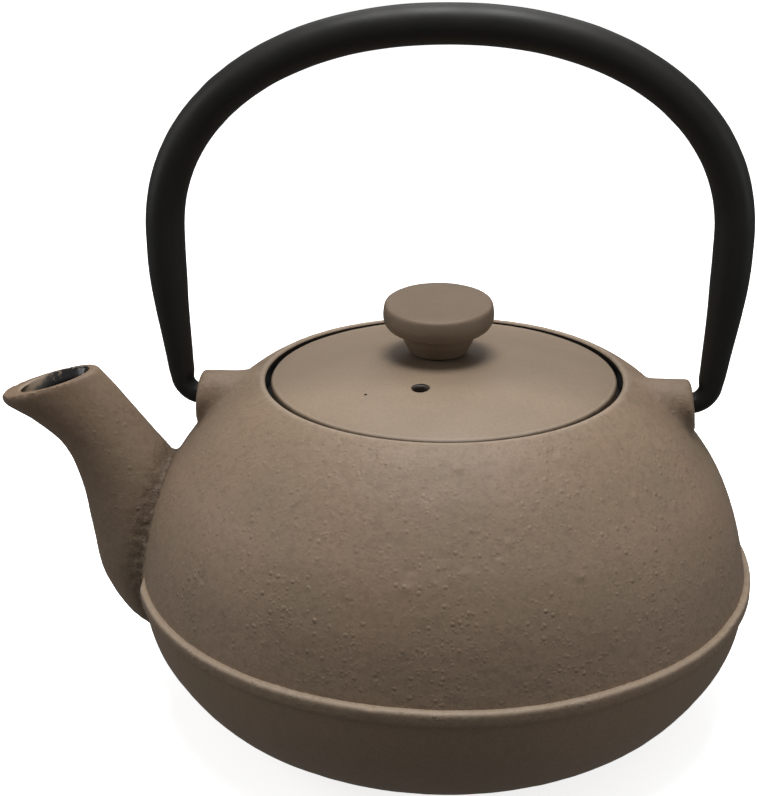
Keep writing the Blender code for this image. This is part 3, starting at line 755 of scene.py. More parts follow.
def casting_distance(point):
    """Blend of body, spout and lugs at a point, with its nearness to the spout's seam."""
    value, direction = distance(body_tree, point)
    near_seam = 0.0
    if point.x < SPOUT_ZONE_X:
        to_spout = distance(spout_tree, point)
        past_body = value - to_spout[0]
        reach = SEAM_REACH if past_body > 0 else SEAM_EDGE
        near_seam = max(0.0, 1.0 - abs(past_body) / reach)
        value, direction = blended((value, direction), to_spout, SPOUT_FILLET)
    side = 1 if point.x > 0 else -1
    if abs(point.x) > LUG_ZONE[0] and abs(point.y) < LUG_ZONE[1] and point.z > LUG_ZONE[2]:
        near_lug = distance(lug_trees[side], point)
        value, direction = blended((value, direction), near_lug, LUG_FILLET)
    return value, direction, near_seam


def slide_on(places, rounds):
    """Moves points onto the blended shape; returns how strongly each lies in the spout's seam."""
    seams = np.zeros(len(places))
    for index in range(len(places)):
        point = Vector(places[index])
        for _ in range(rounds):
            value, direction, seam = casting_distance(point)
            point -= direction * (value / max(direction.length_squared, WEAKEST_PULL))
        places[index] = point
        seams[index] = seam
    return seams


def relaxed(places, edges, rounds):
    """Evens out points by moving each half way to the mean of its neighbours."""
    count = np.bincount(edges.ravel(), minlength=len(places))[:, None]
    for _ in range(rounds):
        mean = np.zeros_like(places)
        for axis in range(3):
            mean[:, axis] = (np.bincount(edges[:, 0], places[edges[:, 1], axis], len(places))
                             + np.bincount(edges[:, 1], places[edges[:, 0], axis], len(places)))
        places = 0.5 * places + 0.5 * mean / count
    return places


# %% Join the rough shapes into one skin
SKIN_STEP = 0.75 * MM


def apply_modifiers(piece):
    """Replaces a piece's mesh by what its modifiers make of it."""
    bpy.context.view_layer.update()
    seen = piece.evaluated_get(bpy.context.evaluated_depsgraph_get())
    mesh = bpy.data.meshes.new_from_object(seen)
    piece.modifiers.clear()
    piece.data = mesh


def joined(name, pieces):
    """One object holding all the pieces' meshes."""
    bm = bmesh.new()
    for piece in pieces:
        bm.from_mesh(piece.data)
    mesh = bpy.data.meshes.new(name)
    bm.to_mesh(mesh)
    bm.free()
    for piece in pieces:
        bpy.data.objects.remove(piece)
    obj = bpy.data.objects.new(name, mesh)
    bpy.context.scene.collection.objects.link(obj)
    return obj


pot = joined("pot_casting", [body_core, spout_core] + lug_cores)
remesh = pot.modifiers.new("Skin", 'REMESH')
remesh.mode = 'VOXEL'
remesh.voxel_size = SKIN_STEP
apply_modifiers(pot)
places = np.empty(len(pot.data.vertices) * 3)
pot.data.vertices.foreach_get("co", places)
places = places.reshape(-1, 3)
edges = np.empty(len(pot.data.edges) * 2, dtype=np.int32)
pot.data.edges.foreach_get("vertices", edges)
edges = edges.reshape(-1, 2)
places = relaxed(places, edges, 3)
slide_on(places, 3)
places = relaxed(places, edges, 2)
seams = slide_on(places, 2)
pot.data.vertices.foreach_set("co", places.ravel())
pot.data.update()
print("skin has", len(places), "points;", int((seams > 0.2).sum()), "of them in the spout's seam")

# %% [markdown]
# ## Marks of the casting
# A sand casting is never true. The skin rolls by a tenth of a millimetre over a couple of
# centimetres, the seam around the spout is rough where two parts of the core met, and single
# grains leave small lumps and pits. These are real relief, so they are moved in the mesh; the
# finer pebbles stay in the finish. Smooth noise in a few layers makes the unevenness here and
# on the other pieces. A mark is (turn about the axis, height, radius, depth).

# %% Rolls, rough seam, lumps and pits
SKIN_ROLLS = ((0.07, 45.0), (0.042, 120.0), (0.05, 420.0))
SEAM_GRAIN = ((1.0, 520.0), (0.7, 1000.0))
SEAM_ROUGH = 0.42
SEAM_CREASE = 0.45
MARKS = [(-84.0, 80.4, 1.2, 0.30), (-58.0, 81.2, 0.9, -0.30), (-93.6, 63.8, 1.0, -0.30),
         (-94.2, 60.6, 1.2, 0.30), (-137.0, 51.8, 1.0, -0.35), (-43.0, 70.8, 1.3, 0.32),
         (-74.8, 68.0, 1.3, 0.28), (-83.5, 63.5, 1.1, 0.25), (-62.0, 60.5, 1.2, 0.25),
         (-84.5, 75.5, 1.1, 0.2), (-33.0, 66.0, 1.2, 0.25), (-120.0, 72.5, 1.2, 0.22),
         (25.0, 66.0, 1.2, 0.28), (74.0, 58.0, 1.1, -0.28), (118.0, 70.0, 1.2, 0.25)]


def unevenness(point, *layers):
    """Sum of smooth random heights; each layer is (height, waves per unit of length)."""
    return sum(height * noise.noise(point * waves) for height, waves in layers)


def mark_place(turn, height):
    """Point on the turned body at a turn about the axis and a height."""
    a = math.radians(turn)
    towards = Vector((math.cos(a), math.sin(a), 0.0))
    start = towards * 0.2 + Vector((0.0, 0.0, height * MM))
    return body_tree.ray_cast(start, -towards)[0]


normals = np.empty(len(places) * 3)
pot.data.vertex_normals.foreach_get("vector", normals)
normals = normals.reshape(-1, 3)
for index in range(len(places)):
    point = Vector(places[index])
    shift = unevenness(point, *SKIN_ROLLS)
    if seams[index] > 0.05:
        rough = unevenness(point, *SEAM_GRAIN)
        shift += SEAM_ROUGH * seams[index] * rough - SEAM_CREASE * seams[index] ** 4
    places[index] += normals[index] * shift * MM
for turn, height, radius, depth in MARKS:
    spot = np.array(mark_place(turn, height))
    gap = np.linalg.norm(places - spot, axis=1) / (radius * MM)
    places += normals * (depth * MM * np.exp(-gap ** 2 * 2.0))[:, None]
pot.data.vertices.foreach_set("co", places.ravel())
pot.data.shade_smooth()
pot.data.update()
print("marks on the casting:", len(MARKS))

# %% [markdown]
# ## The band, the mouth and the hollow
# The band is a crisp ring, so it is turned on its own and joined with a Boolean union. The
# hollow, the passage in the spout and the sockets for the bail are cut with Boolean
# differences. The Manifold solver is quick and exact on closed shapes such as these. The
# passage's cutter and the hollow's cutter below the mouth's edge carry the black enamel, so
# those cut faces are glazed as soon as they appear; the sockets' cutters carry the taupe.

# %% Boolean helper
def carved(piece, other, operation):
    """Applies a Boolean with another piece, which is then removed."""
    mod = piece.modifiers.new(operation.title(), 'BOOLEAN')
    mod.operation = operation
    mod.solver = 'MANIFOLD'
    mod.object = other
    apply_modifiers(piece)
    bpy.data.objects.remove(other)


def coat(piece, finishes, index=0):
    """Gives a piece its list of finishes and puts all its faces on one of them."""
    piece.data.materials.clear()
    for finish in finishes:
        piece.data.materials.append(finish)
    for face in piece.data.polygons:
        face.material_index = index
    return piece


# %% Waist band
BAND_STEPS = 360
BAND_FADE = 10.0 * MM
BAND_SINK = 2.2
BAND_LUMP = Vector((-11.7, -74.1, 36.4))
LUMP_HEIGHT = 0.45
LUMP_RADIUS = 1.6
band_outline = [(71.0, 37.0), (73.2, 36.9), (74.45, 36.75), (74.85, 36.55), (75.05, 36.2),
                (75.1, 35.7), (75.1, 34.2), (75.05, 33.7), (74.8, 33.35), (74.3, 33.15),
                (73.2, 33.0), (71.0, 33.0)]
band = turned("waist_band", band_outline, BAND_STEPS, closed=True)
for vertex in band.data.vertices:
    point = vertex.co.copy()
    outward = Vector((point.x, point.y, 0.0)).normalized()
    wobble = unevenness(point, (0.10, 60.0), (0.06, 240.0))
    sway = unevenness(outward, (0.25, 2.3), (0.08, 14.0))
    wobble += LUMP_HEIGHT * math.exp(-((point - BAND_LUMP * MM).length / (LUMP_RADIUS * MM)) ** 2)
    to_spout = distance(spout_tree, point)[0] if point.x < SPOUT_ZONE_X else BAND_FADE
    wobble -= BAND_SINK * max(0.0, 1.0 - to_spout / BAND_FADE)
    vertex.co += outward * wobble * MM
    vertex.co.z += sway * MM
coat(pot, [pot_enamel, inside_enamel])
coat(band, [pot_enamel, inside_enamel])
carved(pot, band, 'UNION')
print("with its band the pot has", len(pot.data.polygons), "faces")

# %% Hollow and mouth
CUTTER_TOP = 95.0
rounded_mouth = [(0.0, CUTTER_TOP), (43.7, CUTTER_TOP), (43.7, 83.78)] + arc(
    (MOUTH_RADIUS + MOUTH_ROUND, MOUTH_TOP - MOUTH_ROUND), MOUTH_ROUND, 105, 180, 5)
hollow_outline = (rounded_mouth + [(MOUTH_RADIUS, LEDGE_TOP + 0.4), (MOUTH_RADIUS - 0.4, LEDGE_TOP),
                                   (LEDGE_RADIUS + 0.4, LEDGE_TOP), (LEDGE_RADIUS, LEDGE_TOP - 0.4),
                                   (LEDGE_RADIUS, LEDGE_LOW)]
                  + smooth_curve(HOLLOW_WALL, 4) + [(44.0, FLOOR_INSIDE), (0.0, FLOOR_INSIDE)])
hollow = turned("hollow", hollow_outline, 224)
coat(hollow, [pot_enamel, inside_enamel], 1)
# Below the mouth's rounded edge the cut faces keep the black glaze of the inside; on the recess wall under
# the lid's rim this black is partly painted shade of the gap.
for face in hollow.data.polygons:
    middle = face.center / MM
    if middle.z > 83.2:
        face.material_index = 0
carved(pot, hollow, 'DIFFERENCE')

# %% Passage in the spout and sockets for the bail
LIP_FLARE = ((0.7, -3.0), (0.5, -0.1), (0.22, 0.12), (0.08, 0.32), (0.0, 0.6))


def passage_sections():
    """Outer sections narrowed by the wall, from above the mouth to inside the hollow."""
    bore = []
    for index, (ux, uz, lx, lz, half) in enumerate(SPOUT[:-2]):
        across = Vector((lx - ux, lz - uz)).normalized()
        low_wall = LIP_AT_TIP if index == 0 else SPOUT_WALL + 0.6 * max(0, 2 - index)
        high_wall = LIP_INSIDE if index == 0 else SPOUT_WALL
        bore.append((ux + across.x * high_wall, uz + across.y * high_wall,
                     lx - across.x * low_wall, lz - across.y * low_wall,
                     half - (LIP_SIDE if index == 0 else SPOUT_WALL)))
    ux, uz, lx, lz, half = bore[-1]
    inside = (ux + 14.0, uz - 3.0, lx + 18.0, lz + 4.0, half - 1.0)
    mouth = [grown(bore[0], wider, sink, into_spout) for wider, sink in LIP_FLARE]
    return mouth + smooth_curve(bore + [inside], 5)[4:]


passage = lofted("passage", passage_sections(), 64)
coat(passage, [pot_enamel, inside_enamel], 1)
carved(pot, passage, 'DIFFERENCE')
for side in (-1, 1):
    outline = [(0.0, 0.0), (SOCKET_RADIUS, 0.0), (SOCKET_RADIUS, 8.3), (SOCKET_RADIUS + 0.3, 9.3),
               (SOCKET_RADIUS + 0.6, SOCKET_LENGTH), (0.0, SOCKET_LENGTH)]
    socket = along_x(turned("socket", outline, 48), side, SOCKET_START, HINGE_HEIGHT)
    coat(socket, [pot_enamel, inside_enamel], 0)
    carved(pot, socket, 'DIFFERENCE')
print("carved pot has", len(pot.data.polygons), "faces")

# %% Finish the pot
def inside_box(piece):
    """Keeps a piece's points inside the frame's box."""
    for vertex in piece.data.vertices:
        for axis in range(3):
            vertex.co[axis] = min(max(vertex.co[axis], cad_low[axis]), cad_high[axis])


def finished(piece, body, slot, *nodes, sharp=38.0):
    """Shades a piece, puts it on its body and lets it stand for its solids."""
    piece.data.shade_smooth()
    piece.data.set_sharp_from_angle(angle=math.radians(sharp))
    inside_box(piece)
    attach(piece, body)
    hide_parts(*nodes)


# The seam value is the nearness to the spout's seam; the pot's finish paints crease shade with it.
seam_value = pot.data.attributes.new("seam", 'FLOAT', 'POINT')
for index, vertex in enumerate(pot.data.vertices):
    seam_value.data[index].value = casting_distance(vertex.co)[2]
finished(pot, "pot", "pot_iron", "pot_body")

# %% [markdown]
# ## The lid
# The lid is a shallow dome with a rolled edge, a plug-like skirt below that keeps it in the
# mouth, a small vent hole and a hole for the knob's screw. It is turned from one outline, and
# the holes are cut with small turned cutters whose mouths are slightly dished, so that the
# enamel looks pulled into the vent. A pinhole in the dome is cut in the same way.

# %% Lid outline
LID_EDGE_TOP = 83.3
LID_CROWN = KNOB_FOOT - 0.3
LID_THICKNESS = 3.2
SKIRT_LENGTH = 6.0
SKIRT_END = lid_low.z / MM
LID_UNDERSIDE = SKIRT_END + SKIRT_LENGTH
SKIRT_OUTER = 31.4
SKIRT_INNER = 28.8
VENT = (-4.4, -20.7)
VENT_RADIUS = 1.8
SCREW_HOLE_RADIUS = 2.1
PIT = (-16.7, -22.3)
PIT_RADIUS = 0.42
LID_EDGE = 0.7


def crown(radius):
    """Height of the lid's top at a radius."""
    return LID_CROWN - (LID_CROWN - LID_EDGE_TOP) * (radius / LID_RADIUS) ** 2


lid_top = [(LID_RADIUS * f, crown(LID_RADIUS * f)) for f in np.linspace(0.0, 0.965, 26)]
rolled_edge = arc((LID_RADIUS - LID_EDGE, LID_EDGE_TOP - LID_EDGE), LID_EDGE, 74, 0, 8)
lid_below = [(LID_RADIUS, LID_UNDERSIDE + 0.4), (LID_RADIUS - 0.4, LID_UNDERSIDE),
             (SKIRT_OUTER + 0.5, LID_UNDERSIDE), (SKIRT_OUTER, LID_UNDERSIDE - 0.5),
             (SKIRT_OUTER, SKIRT_END + 0.4), (SKIRT_OUTER - 0.4, SKIRT_END),
             (SKIRT_INNER + 0.4, SKIRT_END), (SKIRT_INNER, SKIRT_END + 0.4)]
vault = [(SKIRT_INNER * f, crown(SKIRT_INNER * f) - LID_THICKNESS) for f in np.linspace(1.0, 0.0, 14)]
lid = turned("lid_casting", lid_top + rolled_edge + lid_below + vault, 224)
for vertex in lid.data.vertices:
    vertex.co.z += unevenness(vertex.co, (0.05, 70.0), (0.02, 260.0)) * MM
coat(lid, [lid_enamel, inside_enamel, vent_shade_enamel])
for face in lid.data.polygons:
    within_skirt = face.center.xy.length < SKIRT_OUTER * MM
    on_skirt = within_skirt and face.center.z < LID_UNDERSIDE * MM
    if face.normal.z < -0.1 or on_skirt:
        face.material_index = 1
print("lid crown at", round(LID_CROWN, 2), "underside at", round(LID_UNDERSIDE, 2))

# %% Vent and screw hole
BELOW_LID = 70.0


def dished_hole(radius, place, top):
    """Cutter for a hole whose upper edge is dished."""
    outline = [(0.0, BELOW_LID), (radius, BELOW_LID), (radius, top - 0.45), (radius + 0.06, top - 0.22),
               (radius + 0.2, top - 0.06), (radius + 0.45, top + 0.1), (radius + 0.45, top + 4.0),
               (0.0, top + 4.0)]
    hole = turned("hole", outline, 48)
    # The hole's wall takes the nearly black finish that paints the shade inside it.
    coat(hole, [lid_enamel, inside_enamel, vent_shade_enamel], 2)
    hole.data.transform(Matrix.Translation(Vector((*place, 0.0)) * MM))
    return hole


carved(lid, dished_hole(VENT_RADIUS, VENT, crown(math.hypot(*VENT))), 'DIFFERENCE')
pit_top = crown(math.hypot(*PIT))
pit = turned("pit", [(0.0, pit_top - 0.4), (0.22, pit_top - 0.3), (PIT_RADIUS, pit_top + 0.1),
                     (PIT_RADIUS, pit_top + 1.0), (0.0, pit_top + 1.0)], 20)
pit.data.transform(Matrix.Translation(Vector((*PIT, 0.0)) * MM))
# The pinhole's wall takes the same nearly black painted shade.
carved(lid, coat(pit, [lid_enamel, inside_enamel, vent_shade_enamel], 2), 'DIFFERENCE')
carved(lid, dished_hole(SCREW_HOLE_RADIUS, (KNOB_X, 0.0), LID_CROWN), 'DIFFERENCE')
finished(lid, "lid", "lid_iron", "lid")
print("lid has", len(lid.data.polygons), "faces")

# %% [markdown]
# ## The knob
# The knob is turned too: a flat, slightly dished top with a tight rolled edge, a full side,
# and a stem that flares out under the head and stands on the lid. The head leans forward by a
# few degrees, as it came out of its mould. The side is one smooth curve through a few points,
# which lie close together where the edge turns fast. A small chip in the enamel on its top is
# pressed in afterwards.

# %% Knob outline
KNOB_TOP = 12.2
KNOB_LEAN = 0.085
DISH_RADIUS = 12.0
DISH_DEPTH = 0.5
CHIP = Vector((3.4, -0.2, KNOB_TOP - 0.4)) * MM
CHIP_RADIUS = 0.9
CHIP_DEPTH = 0.28
dish = [(DISH_RADIUS * f, KNOB_TOP - DISH_DEPTH * (1 - f * f)) for f in np.linspace(0.0, 1.0, 14)]
knob_side = smooth_curve([(12.0, 12.2), (12.45, 12.05), (12.75, 11.7), (12.92, 11.1), (13.05, 10.1),
                          (13.08, 9.0), (12.9, 8.0), (12.2, 6.9), (10.8, 6.0), (9.6, 5.55),
                          (8.95, 5.1), (8.65, 4.3), (8.2, 2.9), (7.35, 1.2), (6.85, 0.3)], 5)[1:]
stem_foot = [(6.5, 0.0), (2.3, 0.0), (2.3, 7.2), (0.0, 7.6)]
knob = turned("knob_casting", dish + knob_side + stem_foot, 144)
for vertex in knob.data.vertices:
    point = vertex.co.copy()
    gap = (point - CHIP).length / (CHIP_RADIUS * MM)
    vertex.co.z -= CHIP_DEPTH * MM * math.exp(-gap * gap)
    vertex.co += point.normalized() * unevenness(point, (0.07, 140.0)) * MM
    head_share = min(1.0, max(0.0, (point.z / MM - 2.0) / 5.0))
    vertex.co.z += KNOB_LEAN * head_share * point.y
knob.data.transform(Matrix.Translation(Vector((KNOB_X, 0.0, KNOB_FOOT)) * MM))
coat(knob, [knob_enamel])
finished(knob, "lid", "lid_iron", "lid_knob", sharp=50.0)
print("knob top at", round(max(v.co.z for v in knob.data.vertices) / MM, 2))

# %% [markdown]
# ## Screw and washer under the lid
# One pan-head screw holds the knob. It is seen only when the lid is lifted, and then a plain
# disc would look false, so the head gets its rounded edge and a cross recess. The recess is
# two crossed tapered slots cut with Booleans.

# %% Washer
washer_low, washer_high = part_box("knob_washer")
screw_low, screw_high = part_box("knob_screw")
bottom = washer_low.z / MM
top = washer_high.z / MM
washer_outline = [(2.3, top - 0.1), (2.4, top), (5.0, top), (5.2, top - 0.2), (5.2, bottom + 0.2),
                  (5.0, bottom), (2.4, bottom), (2.3, bottom + 0.1)]
washer = turned("washer_ring", washer_outline, 96, closed=True)
washer.data.transform(Matrix.Translation(Vector((KNOB_X, 0.0, 0.0)) * MM))
coat(washer, [screw_steel])
finished(washer, "lid", "fastener_steel", "knob_washer")

# %% Screw with a cross recess
HEAD_HEIGHT = 2.2
seat = screw_low.z / MM + HEAD_HEIGHT
tip = screw_high.z / MM
screw_outline = ([(0.0, tip), (1.6, tip), (2.0, tip - 0.5), (2.0, seat + 0.2), (2.15, seat),
                  (3.5, seat), (3.6, seat - 0.15)]
                 + arc((2.4, seat - 1.0), 1.2, 0, -90, 8) + [(0.0, seat - HEAD_HEIGHT)])
screw = turned("screw_pan_head", screw_outline, 96)
coat(screw, [screw_steel])
for turn in (0, 1):
    slot_mesh = [(-2.0, -0.32), (2.0, -0.32), (2.0, 0.32), (-2.0, 0.32)]
    low_ring = [(x, y, seat - 3.0) for x, y in slot_mesh]
    high_ring = [(x * 0.55, y * 0.7, seat - 0.8) for x, y in slot_mesh]
    corners = [(p if not turn else (-p[1], p[0], p[2])) for p in low_ring + high_ring]
    faces = [(0, 1, 2, 3), (4, 5, 6, 7)] + [(i, (i + 1) % 4, (i + 1) % 4 + 4, i + 4) for i in range(4)]
    carved(screw, coat(piece_from("slot", corners, faces, smooth=False), [screw_steel]), 'DIFFERENCE')
screw.data.transform(Matrix.Translation(Vector((KNOB_X, 0.0, 0.0)) * MM))
finished(screw, "lid", "fastener_steel", "knob_screw", sharp=30.0)
print("screw from", round(seat - HEAD_HEIGHT, 1), "to", round(tip, 1))

# %% [markdown]
# ## The bail
# The bail is one steel tube, full size over the arch and swaged down to slim hooks that turn
# in the lugs. A curve with a bevel would make the tube, with a radius at each point. A swept
# mesh does the same and leaves room for what hand bending does: the tube flattens slightly
# and wrinkles on the inside of its tight bends. The ends are open, with a visible wall.

# %% Route of the bail
ARCH_HALF_SPAN = 65.6
ARCH_START = 40.0
ARCH_RISE = 48.3
ARCH_POWER = 2.15
ARCH_LEAN = 0.8
HOOK_END = 51.0
HOOK_BEND = 5.0
HOOK_BEND_CENTRE = 58.1
crest = HINGE_HEIGHT + ARCH_START + ARCH_RISE
TUBE_RADIUS = handle_high.z / MM - crest
hook = [(HOOK_END + 0.6 * i, 0.0) for i in range(12)]
bend = [(HOOK_BEND_CENTRE + HOOK_BEND * math.sin(math.radians(a)),
         HOOK_BEND * (1 - math.cos(math.radians(a)))) for a in range(2, 79, 4)]
leg = smooth_curve([(63.05, 5.2), (63.9, 13.7), (64.8, 22.4), (65.45, 32.0), (65.6, 40.0)], 10)
arch = []
for step in range(1, 120):
    a = math.pi * step / 120
    across = math.copysign(abs(math.cos(a)) ** (2 / ARCH_POWER), math.cos(a))
    arch.append((ARCH_HALF_SPAN * across, ARCH_START + ARCH_RISE * math.sin(a) ** (2 / ARCH_POWER)))
side_route = hook + bend + leg[1:]
route = side_route + arch + [(-x, z) for x, z in reversed(side_route)]
print("bail route has", len(route), "points; tube radius", round(TUBE_RADIUS, 2))

# %% Swept tube
swage = smooth_curve([(-6.0, 2.7), (0.0, 2.7), (5.0, 3.05), (13.7, 3.5), (22.4, 4.05), (32.0, 4.55),
                      (52.0, TUBE_RADIUS), (100.0, TUBE_RADIUS)], 8)


def tube_radius(height):
    """Radius of the tube at a height above the hinge."""
    return float(np.interp(height, [p[0] for p in swage], [p[1] for p in swage]))


def even_route(points, spacing):
    """The route as evenly spaced points."""
    line = np.array(points)
    steps = np.linalg.norm(np.diff(line, axis=0), axis=1)
    run = np.concatenate([[0.0], np.cumsum(steps)])
    wanted = np.linspace(0.0, run[-1], int(run[-1] / spacing))
    return np.column_stack([np.interp(wanted, run, line[:, k]) for k in range(2)])


TUBE_WALL = 1.4
TUBE_SIDES = 40
ROUTE_STEP = 0.8
centre_line = even_route(route, ROUTE_STEP)
heading = np.gradient(centre_line, axis=0)
heading /= np.linalg.norm(heading, axis=1)[:, None]
turning = np.linalg.norm(np.gradient(heading, axis=0), axis=1) / ROUTE_STEP
turning = np.convolve(turning, np.ones(5) / 5, mode='same')


def tube_rings(inset):
    """Rings of points along the bail, drawn in by inset from its outside."""
    rings = []
    for (x, z), (dx, dz), tight in zip(centre_line, heading, turning):
        centre = Vector((x + ARCH_LEAN * z / (ARCH_START + ARCH_RISE), 0.0, z + HINGE_HEIGHT))
        outward = Vector((dz, 0.0, -dx))
        radius = tube_radius(z) - inset
        flat = 1.0 - min(0.05, max(0.0, tight - 0.02) * 0.5)
        ring = []
        for i in range(TUBE_SIDES):
            a = 2 * math.pi * i / TUBE_SIDES
            spoke = outward * math.cos(a) + Vector((0.0, math.sin(a), 0.0))
            reach = radius * (flat if abs(math.cos(a)) > 0.7 else 1.0)
            ring.append(centre + spoke * reach)
        rings.append(ring)
    return rings


outer_rings = tube_rings(0.0)
inner_rings = tube_rings(TUBE_WALL)
verts = []
numbers = []
for ring in outer_rings + inner_rings[::-1]:
    numbers.append(list(range(len(verts), len(verts) + TUBE_SIDES)))
    verts.extend(ring)
bail = piece_from("bail_tube", verts, bridge(numbers, closed=True))

# %% Dents and bend wrinkles
WRINKLES = ((61.0, 4.0, 7.0), (-61.0, 4.0, 7.0), (56.0, 70.0, 16.0), (-56.0, 70.0, 16.0))
FOLD_HEIGHT = 0.09
FOLD_SINK = 0.03
bail.data.update()
normals = [v.normal.copy() for v in bail.data.vertices]
outside_count = len(outer_rings) * TUBE_SIDES
for vertex, normal in list(zip(bail.data.vertices, normals))[:outside_count]:
    point = vertex.co.copy()
    shift = unevenness(point, (0.05, 60.0), (0.03, 170.0)) - 0.05
    for x, above, reach in WRINKLES:
        gap = math.hypot(point.x / MM - x, point.z / MM - HINGE_HEIGHT - above) / reach
        if gap < 1.6:
            fold = unevenness(point, (FOLD_HEIGHT, 330.0)) - FOLD_SINK
            shift += fold * math.exp(-gap * gap)
    vertex.co += normal * shift * MM
coat(bail, [handle_coat])
finished(bail, "handle", "handle_coat", "handle", sharp=50.0)
print("bail from", [round(v, 1) for v in np.array([tuple(v.co) for v in bail.data.vertices]).min(0) / MM])

# %% [markdown]
# ## The infuser's rim and base band
# The infuser hangs by a flat rim pressed from thin stainless sheet, with a rolled lip and a
# drawn collar. A crimped band holds the base mesh. Both are thin rings, so they are turned
# from closed outlines with every bend rounded.

# %% Rim and band
rim_low, rim_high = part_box("infuser_rim")
flange_top = rim_high.z / MM
flange_radius = rim_high.y / MM
collar_low = rim_low.z / MM
collar_outer = 33.4
sheet = 0.7
rim_outline = ([(flange_radius - 0.35, flange_top), (flange_radius, flange_top - 0.35),
                (flange_radius - 0.35, flange_top - sheet)]
               + [(collar_outer + 1.0, flange_top - sheet)]
               + arc((collar_outer + 1.0, flange_top - sheet - 1.0), 1.0, 105, 180, 6)
               + [(collar_outer, collar_low + 0.3), (collar_outer - 0.35, collar_low),
                  (collar_outer - sheet, collar_low + 0.3), (collar_outer - sheet, flange_top - 1.4)]
               + arc((collar_outer + 0.9, flange_top - 1.6), 1.6, 180, 95, 8))
rim = turned("infuser_rim_sheet", rim_outline, 192, closed=True)
coat(rim, [sheet_steel])
finished(rim, "infuser", "infuser_steel", "infuser_rim")
base_low, base_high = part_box("infuser_base_band")
floor_z = base_low.z / MM
band_top = base_high.z / MM
band_outer = base_high.y / MM
band_outline = ([(band_outer - 0.7, band_top), (band_outer - 0.35, band_top),
                 (band_outer, band_top - 0.35), (band_outer, floor_z + 1.0)]
                + arc((band_outer - 1.0, floor_z + 1.0), 1.0, 0, -90, 6)
                + [(29.5, floor_z), (29.3, floor_z + 0.35), (29.5, floor_z + sheet),
                   (band_outer - 1.0, floor_z + sheet), (band_outer - 0.7, floor_z + 1.1)])
base_band = turned("infuser_band_sheet", band_outline, 192, closed=True)
coat(base_band, [sheet_steel])
finished(base_band, "infuser", "infuser_steel", "infuser_base_band")
print("rim radius", round(flange_radius, 2), "collar down to", round(collar_low, 2))

# %% [markdown]
# ## The infuser's mesh
# The wall and base are woven wire. An image or an alpha pattern would fool the eye from far
# away, but the holes would not be real. A grid is turned into wire by the Wireframe modifier,
# which gives closed wires with true openings, and every other crossing is pushed in or out a
# little, so the wires run over and under each other.

# %% Woven wall
wall_low, wall_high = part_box("infuser_wall")
MESH_PITCH = 1.7
WIRE = 0.36
WALL_WEAVE = 0.05
BASE_WEAVE = 0.03
wall_radius = wall_high.y / MM - 0.25
columns = 2 * round(math.pi * wall_radius / MESH_PITCH)
rows = round((wall_high.z - wall_low.z) / MM / MESH_PITCH)


def wired(name, verts, faces):
    """Grid of faces turned into closed wires along its edges."""
    net = piece_from(name, verts, faces, smooth=False)
    wire = net.modifiers.new("Wires", 'WIREFRAME')
    wire.thickness = WIRE * MM
    wire.use_even_offset = False
    wire.use_boundary = True
    wire.use_replace = True
    apply_modifiers(net)
    coat(net, [wire_steel])
    return net


wall_bottom = wall_low.z / MM + WIRE / 2
wall_step = ((wall_high.z - wall_low.z) / MM - WIRE) / rows
verts = []
numbers = []
for row in range(rows + 1):
    numbers.append(list(range(len(verts), len(verts) + columns)))
    for column in range(columns):
        a = 2 * math.pi * column / columns
        weave = WALL_WEAVE if (row + column) % 2 else -WALL_WEAVE
        radius = wall_radius + weave
        verts.append((radius * math.cos(a), radius * math.sin(a), wall_bottom + wall_step * row))
wall = wired("infuser_wall_weave", verts, bridge(numbers))
finished(wall, "infuser", "infuser_mesh", "infuser_wall", sharp=50.0)
print("woven wall:", columns, "by", rows, "openings,", len(wall.data.polygons), "faces")

# %% Woven base
disc_low, disc_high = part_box("infuser_base_mesh")
disc_middle = (disc_low.z + disc_high.z) / 2 / MM
disc_radius = disc_high.y / MM - 0.3
half_count = int(disc_radius / MESH_PITCH)
verts = []
index_of = {}
for row in range(-half_count, half_count + 1):
    for column in range(-half_count, half_count + 1):
        x = column * MESH_PITCH
        y = row * MESH_PITCH
        if math.hypot(x, y) <= disc_radius:
            index_of[row, column] = len(verts)
            weave = BASE_WEAVE if (row + column) % 2 else -BASE_WEAVE
            verts.append((x, y, disc_middle + weave))
faces = []
for row, column in index_of:
    corners = [(row, column), (row, column + 1), (row + 1, column + 1), (row + 1, column)]
    if all(corner in index_of for corner in corners):
        faces.append([index_of[corner] for corner in corners])
used = sorted(set(i for face in faces for i in face))
renumbered = {old: new for new, old in enumerate(used)}
base_net = wired("infuser_base_weave", [verts[i] for i in used],
                 [[renumbered[i] for i in face] for face in faces])
finished(base_net, "infuser", "infuser_mesh", "infuser_base_mesh", sharp=50.0)
print("woven base has", len(faces), "openings")

# %% [markdown]
# ## Floor, light and camera
# The pot stands on a plain white floor among six soft boxes, as in a product studio. The
# strongest one hangs overhead: it makes the lid and the shoulder bright and lets the bowl fall
# off below the band. Weaker ones at the back, the sides and low in front fill the shadows. The
# floor is left out of bounced light and reflections, so the underside stays dark.

# %% Floor
FLOOR_GLOW = 0.78


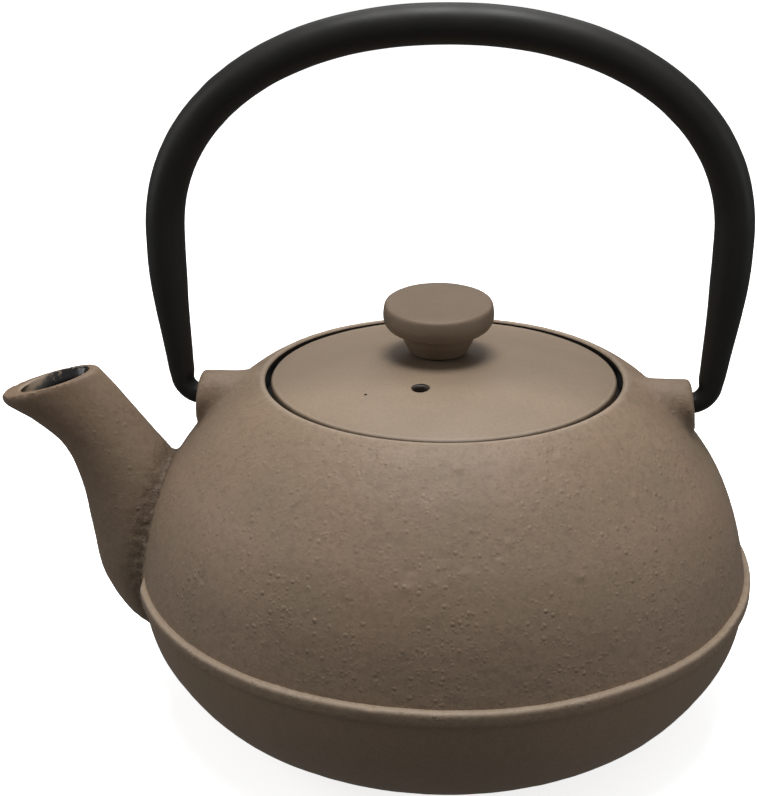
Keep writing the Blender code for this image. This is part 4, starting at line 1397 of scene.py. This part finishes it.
def studio_floor():
    """Wide plain floor that takes soft shadows."""
    mesh = bpy.data.meshes.new("studio_floor")
    bm = bmesh.new()
    bmesh.ops.create_grid(bm, x_segments=8, y_segments=8, size=6.0)
    bm.to_mesh(mesh)
    bm.free()
    floor = bpy.data.objects.new("studio_floor", mesh)
    bpy.context.scene.collection.objects.link(floor)
    finish, tree, shader, place = new_finish("studio_white")
    tone = noise_value(tree, place, 3.0, 1.0)
    white = mixed(tree, tone, (0.90, 0.90, 0.90, 1.0), (0.92, 0.92, 0.92, 1.0))
    tree.links.new(white, shader.inputs["Base Color"])
    shader.inputs["Roughness"].default_value = 0.9
    shader.inputs["Specular IOR Level"].default_value = 0.1
    shader.inputs["Emission Color"].default_value = (1.0, 1.0, 1.0, 1.0)
    shader.inputs["Emission Strength"].default_value = FLOOR_GLOW
    mesh.materials.append(finish)
    floor.visible_diffuse = False
    floor.visible_glossy = False


studio_floor()


# %% Studio light
POT_MIDDLE = Vector((0.0, 0.0, 0.06))


def soft_light(name, place, width, depth, power):
    """Rectangular soft box of white light that faces the pot."""
    lamp = bpy.data.lights.new(name, 'AREA')
    lamp.shape = 'RECTANGLE'
    lamp.size = width
    lamp.size_y = depth
    lamp.energy = power
    obj = bpy.data.objects.new(name, lamp)
    bpy.context.scene.collection.objects.link(obj)
    obj.location = place
    obj.rotation_euler = (POT_MIDDLE - Vector(place)).to_track_quat('-Z', 'Y').to_euler()


soft_light("overhead_box", (0.0, -0.04, 0.85), 0.38, 0.38, 7.7)
soft_light("back_box", (0.0, 0.5, 0.7), 0.6, 0.5, 1.6)
soft_light("left_box", (-0.8, -0.1, 0.35), 0.4, 0.6, 1.7)
soft_light("right_box", (0.8, -0.1, 0.2), 0.4, 0.4, 0.8)
soft_light("right_high_box", (0.55, -0.1, 0.7), 0.4, 0.6, 0.4)
soft_light("low_front_box", (0.35, -0.9, 0.12), 0.5, 0.25, 0.3)

# %% Surrounding light
ROOM_GLOW = 0.175


def studio_world():
    """Dim even room light, seen as plain white behind the floor."""
    world = bpy.data.worlds.new("studio")
    bpy.context.scene.world = world
    world.use_nodes = True
    tree = world.node_tree
    background = tree.nodes["Background"]
    seen = add(tree, "ShaderNodeLightPath").outputs["Is Camera Ray"]
    background.inputs["Color"].default_value = (1.0, 1.0, 1.0, 1.0)
    tree.links.new(ranged(tree, seen, 0.0, 1.0, ROOM_GLOW, 1.0), background.inputs["Strength"])


studio_world()
bpy.context.scene.view_settings.view_transform = 'Standard'

# %% Camera
LENS = 71.46
CAMERA_PLACE = Vector((13.1, -353.77, 213.78))
CAMERA_AIM = Vector((-15.55, 0.0, 77.02))
CAMERA_TILT = -0.489
camera_data = bpy.data.cameras.new("studio_camera")
camera_data.sensor_width = 36.0
camera_data.sensor_fit = 'AUTO'
camera_data.lens = LENS
camera_data.clip_start = 0.01
camera = bpy.data.objects.new("studio_camera", camera_data)
bpy.context.scene.collection.objects.link(camera)
camera.location = CAMERA_PLACE * MM
look = CAMERA_AIM * MM - camera.location
tilt = Matrix.Rotation(math.radians(CAMERA_TILT), 3, 'Z')
camera.rotation_euler = (look.to_track_quat('-Z', 'Y').to_matrix() @ tilt).to_euler()
bpy.context.scene.camera = camera
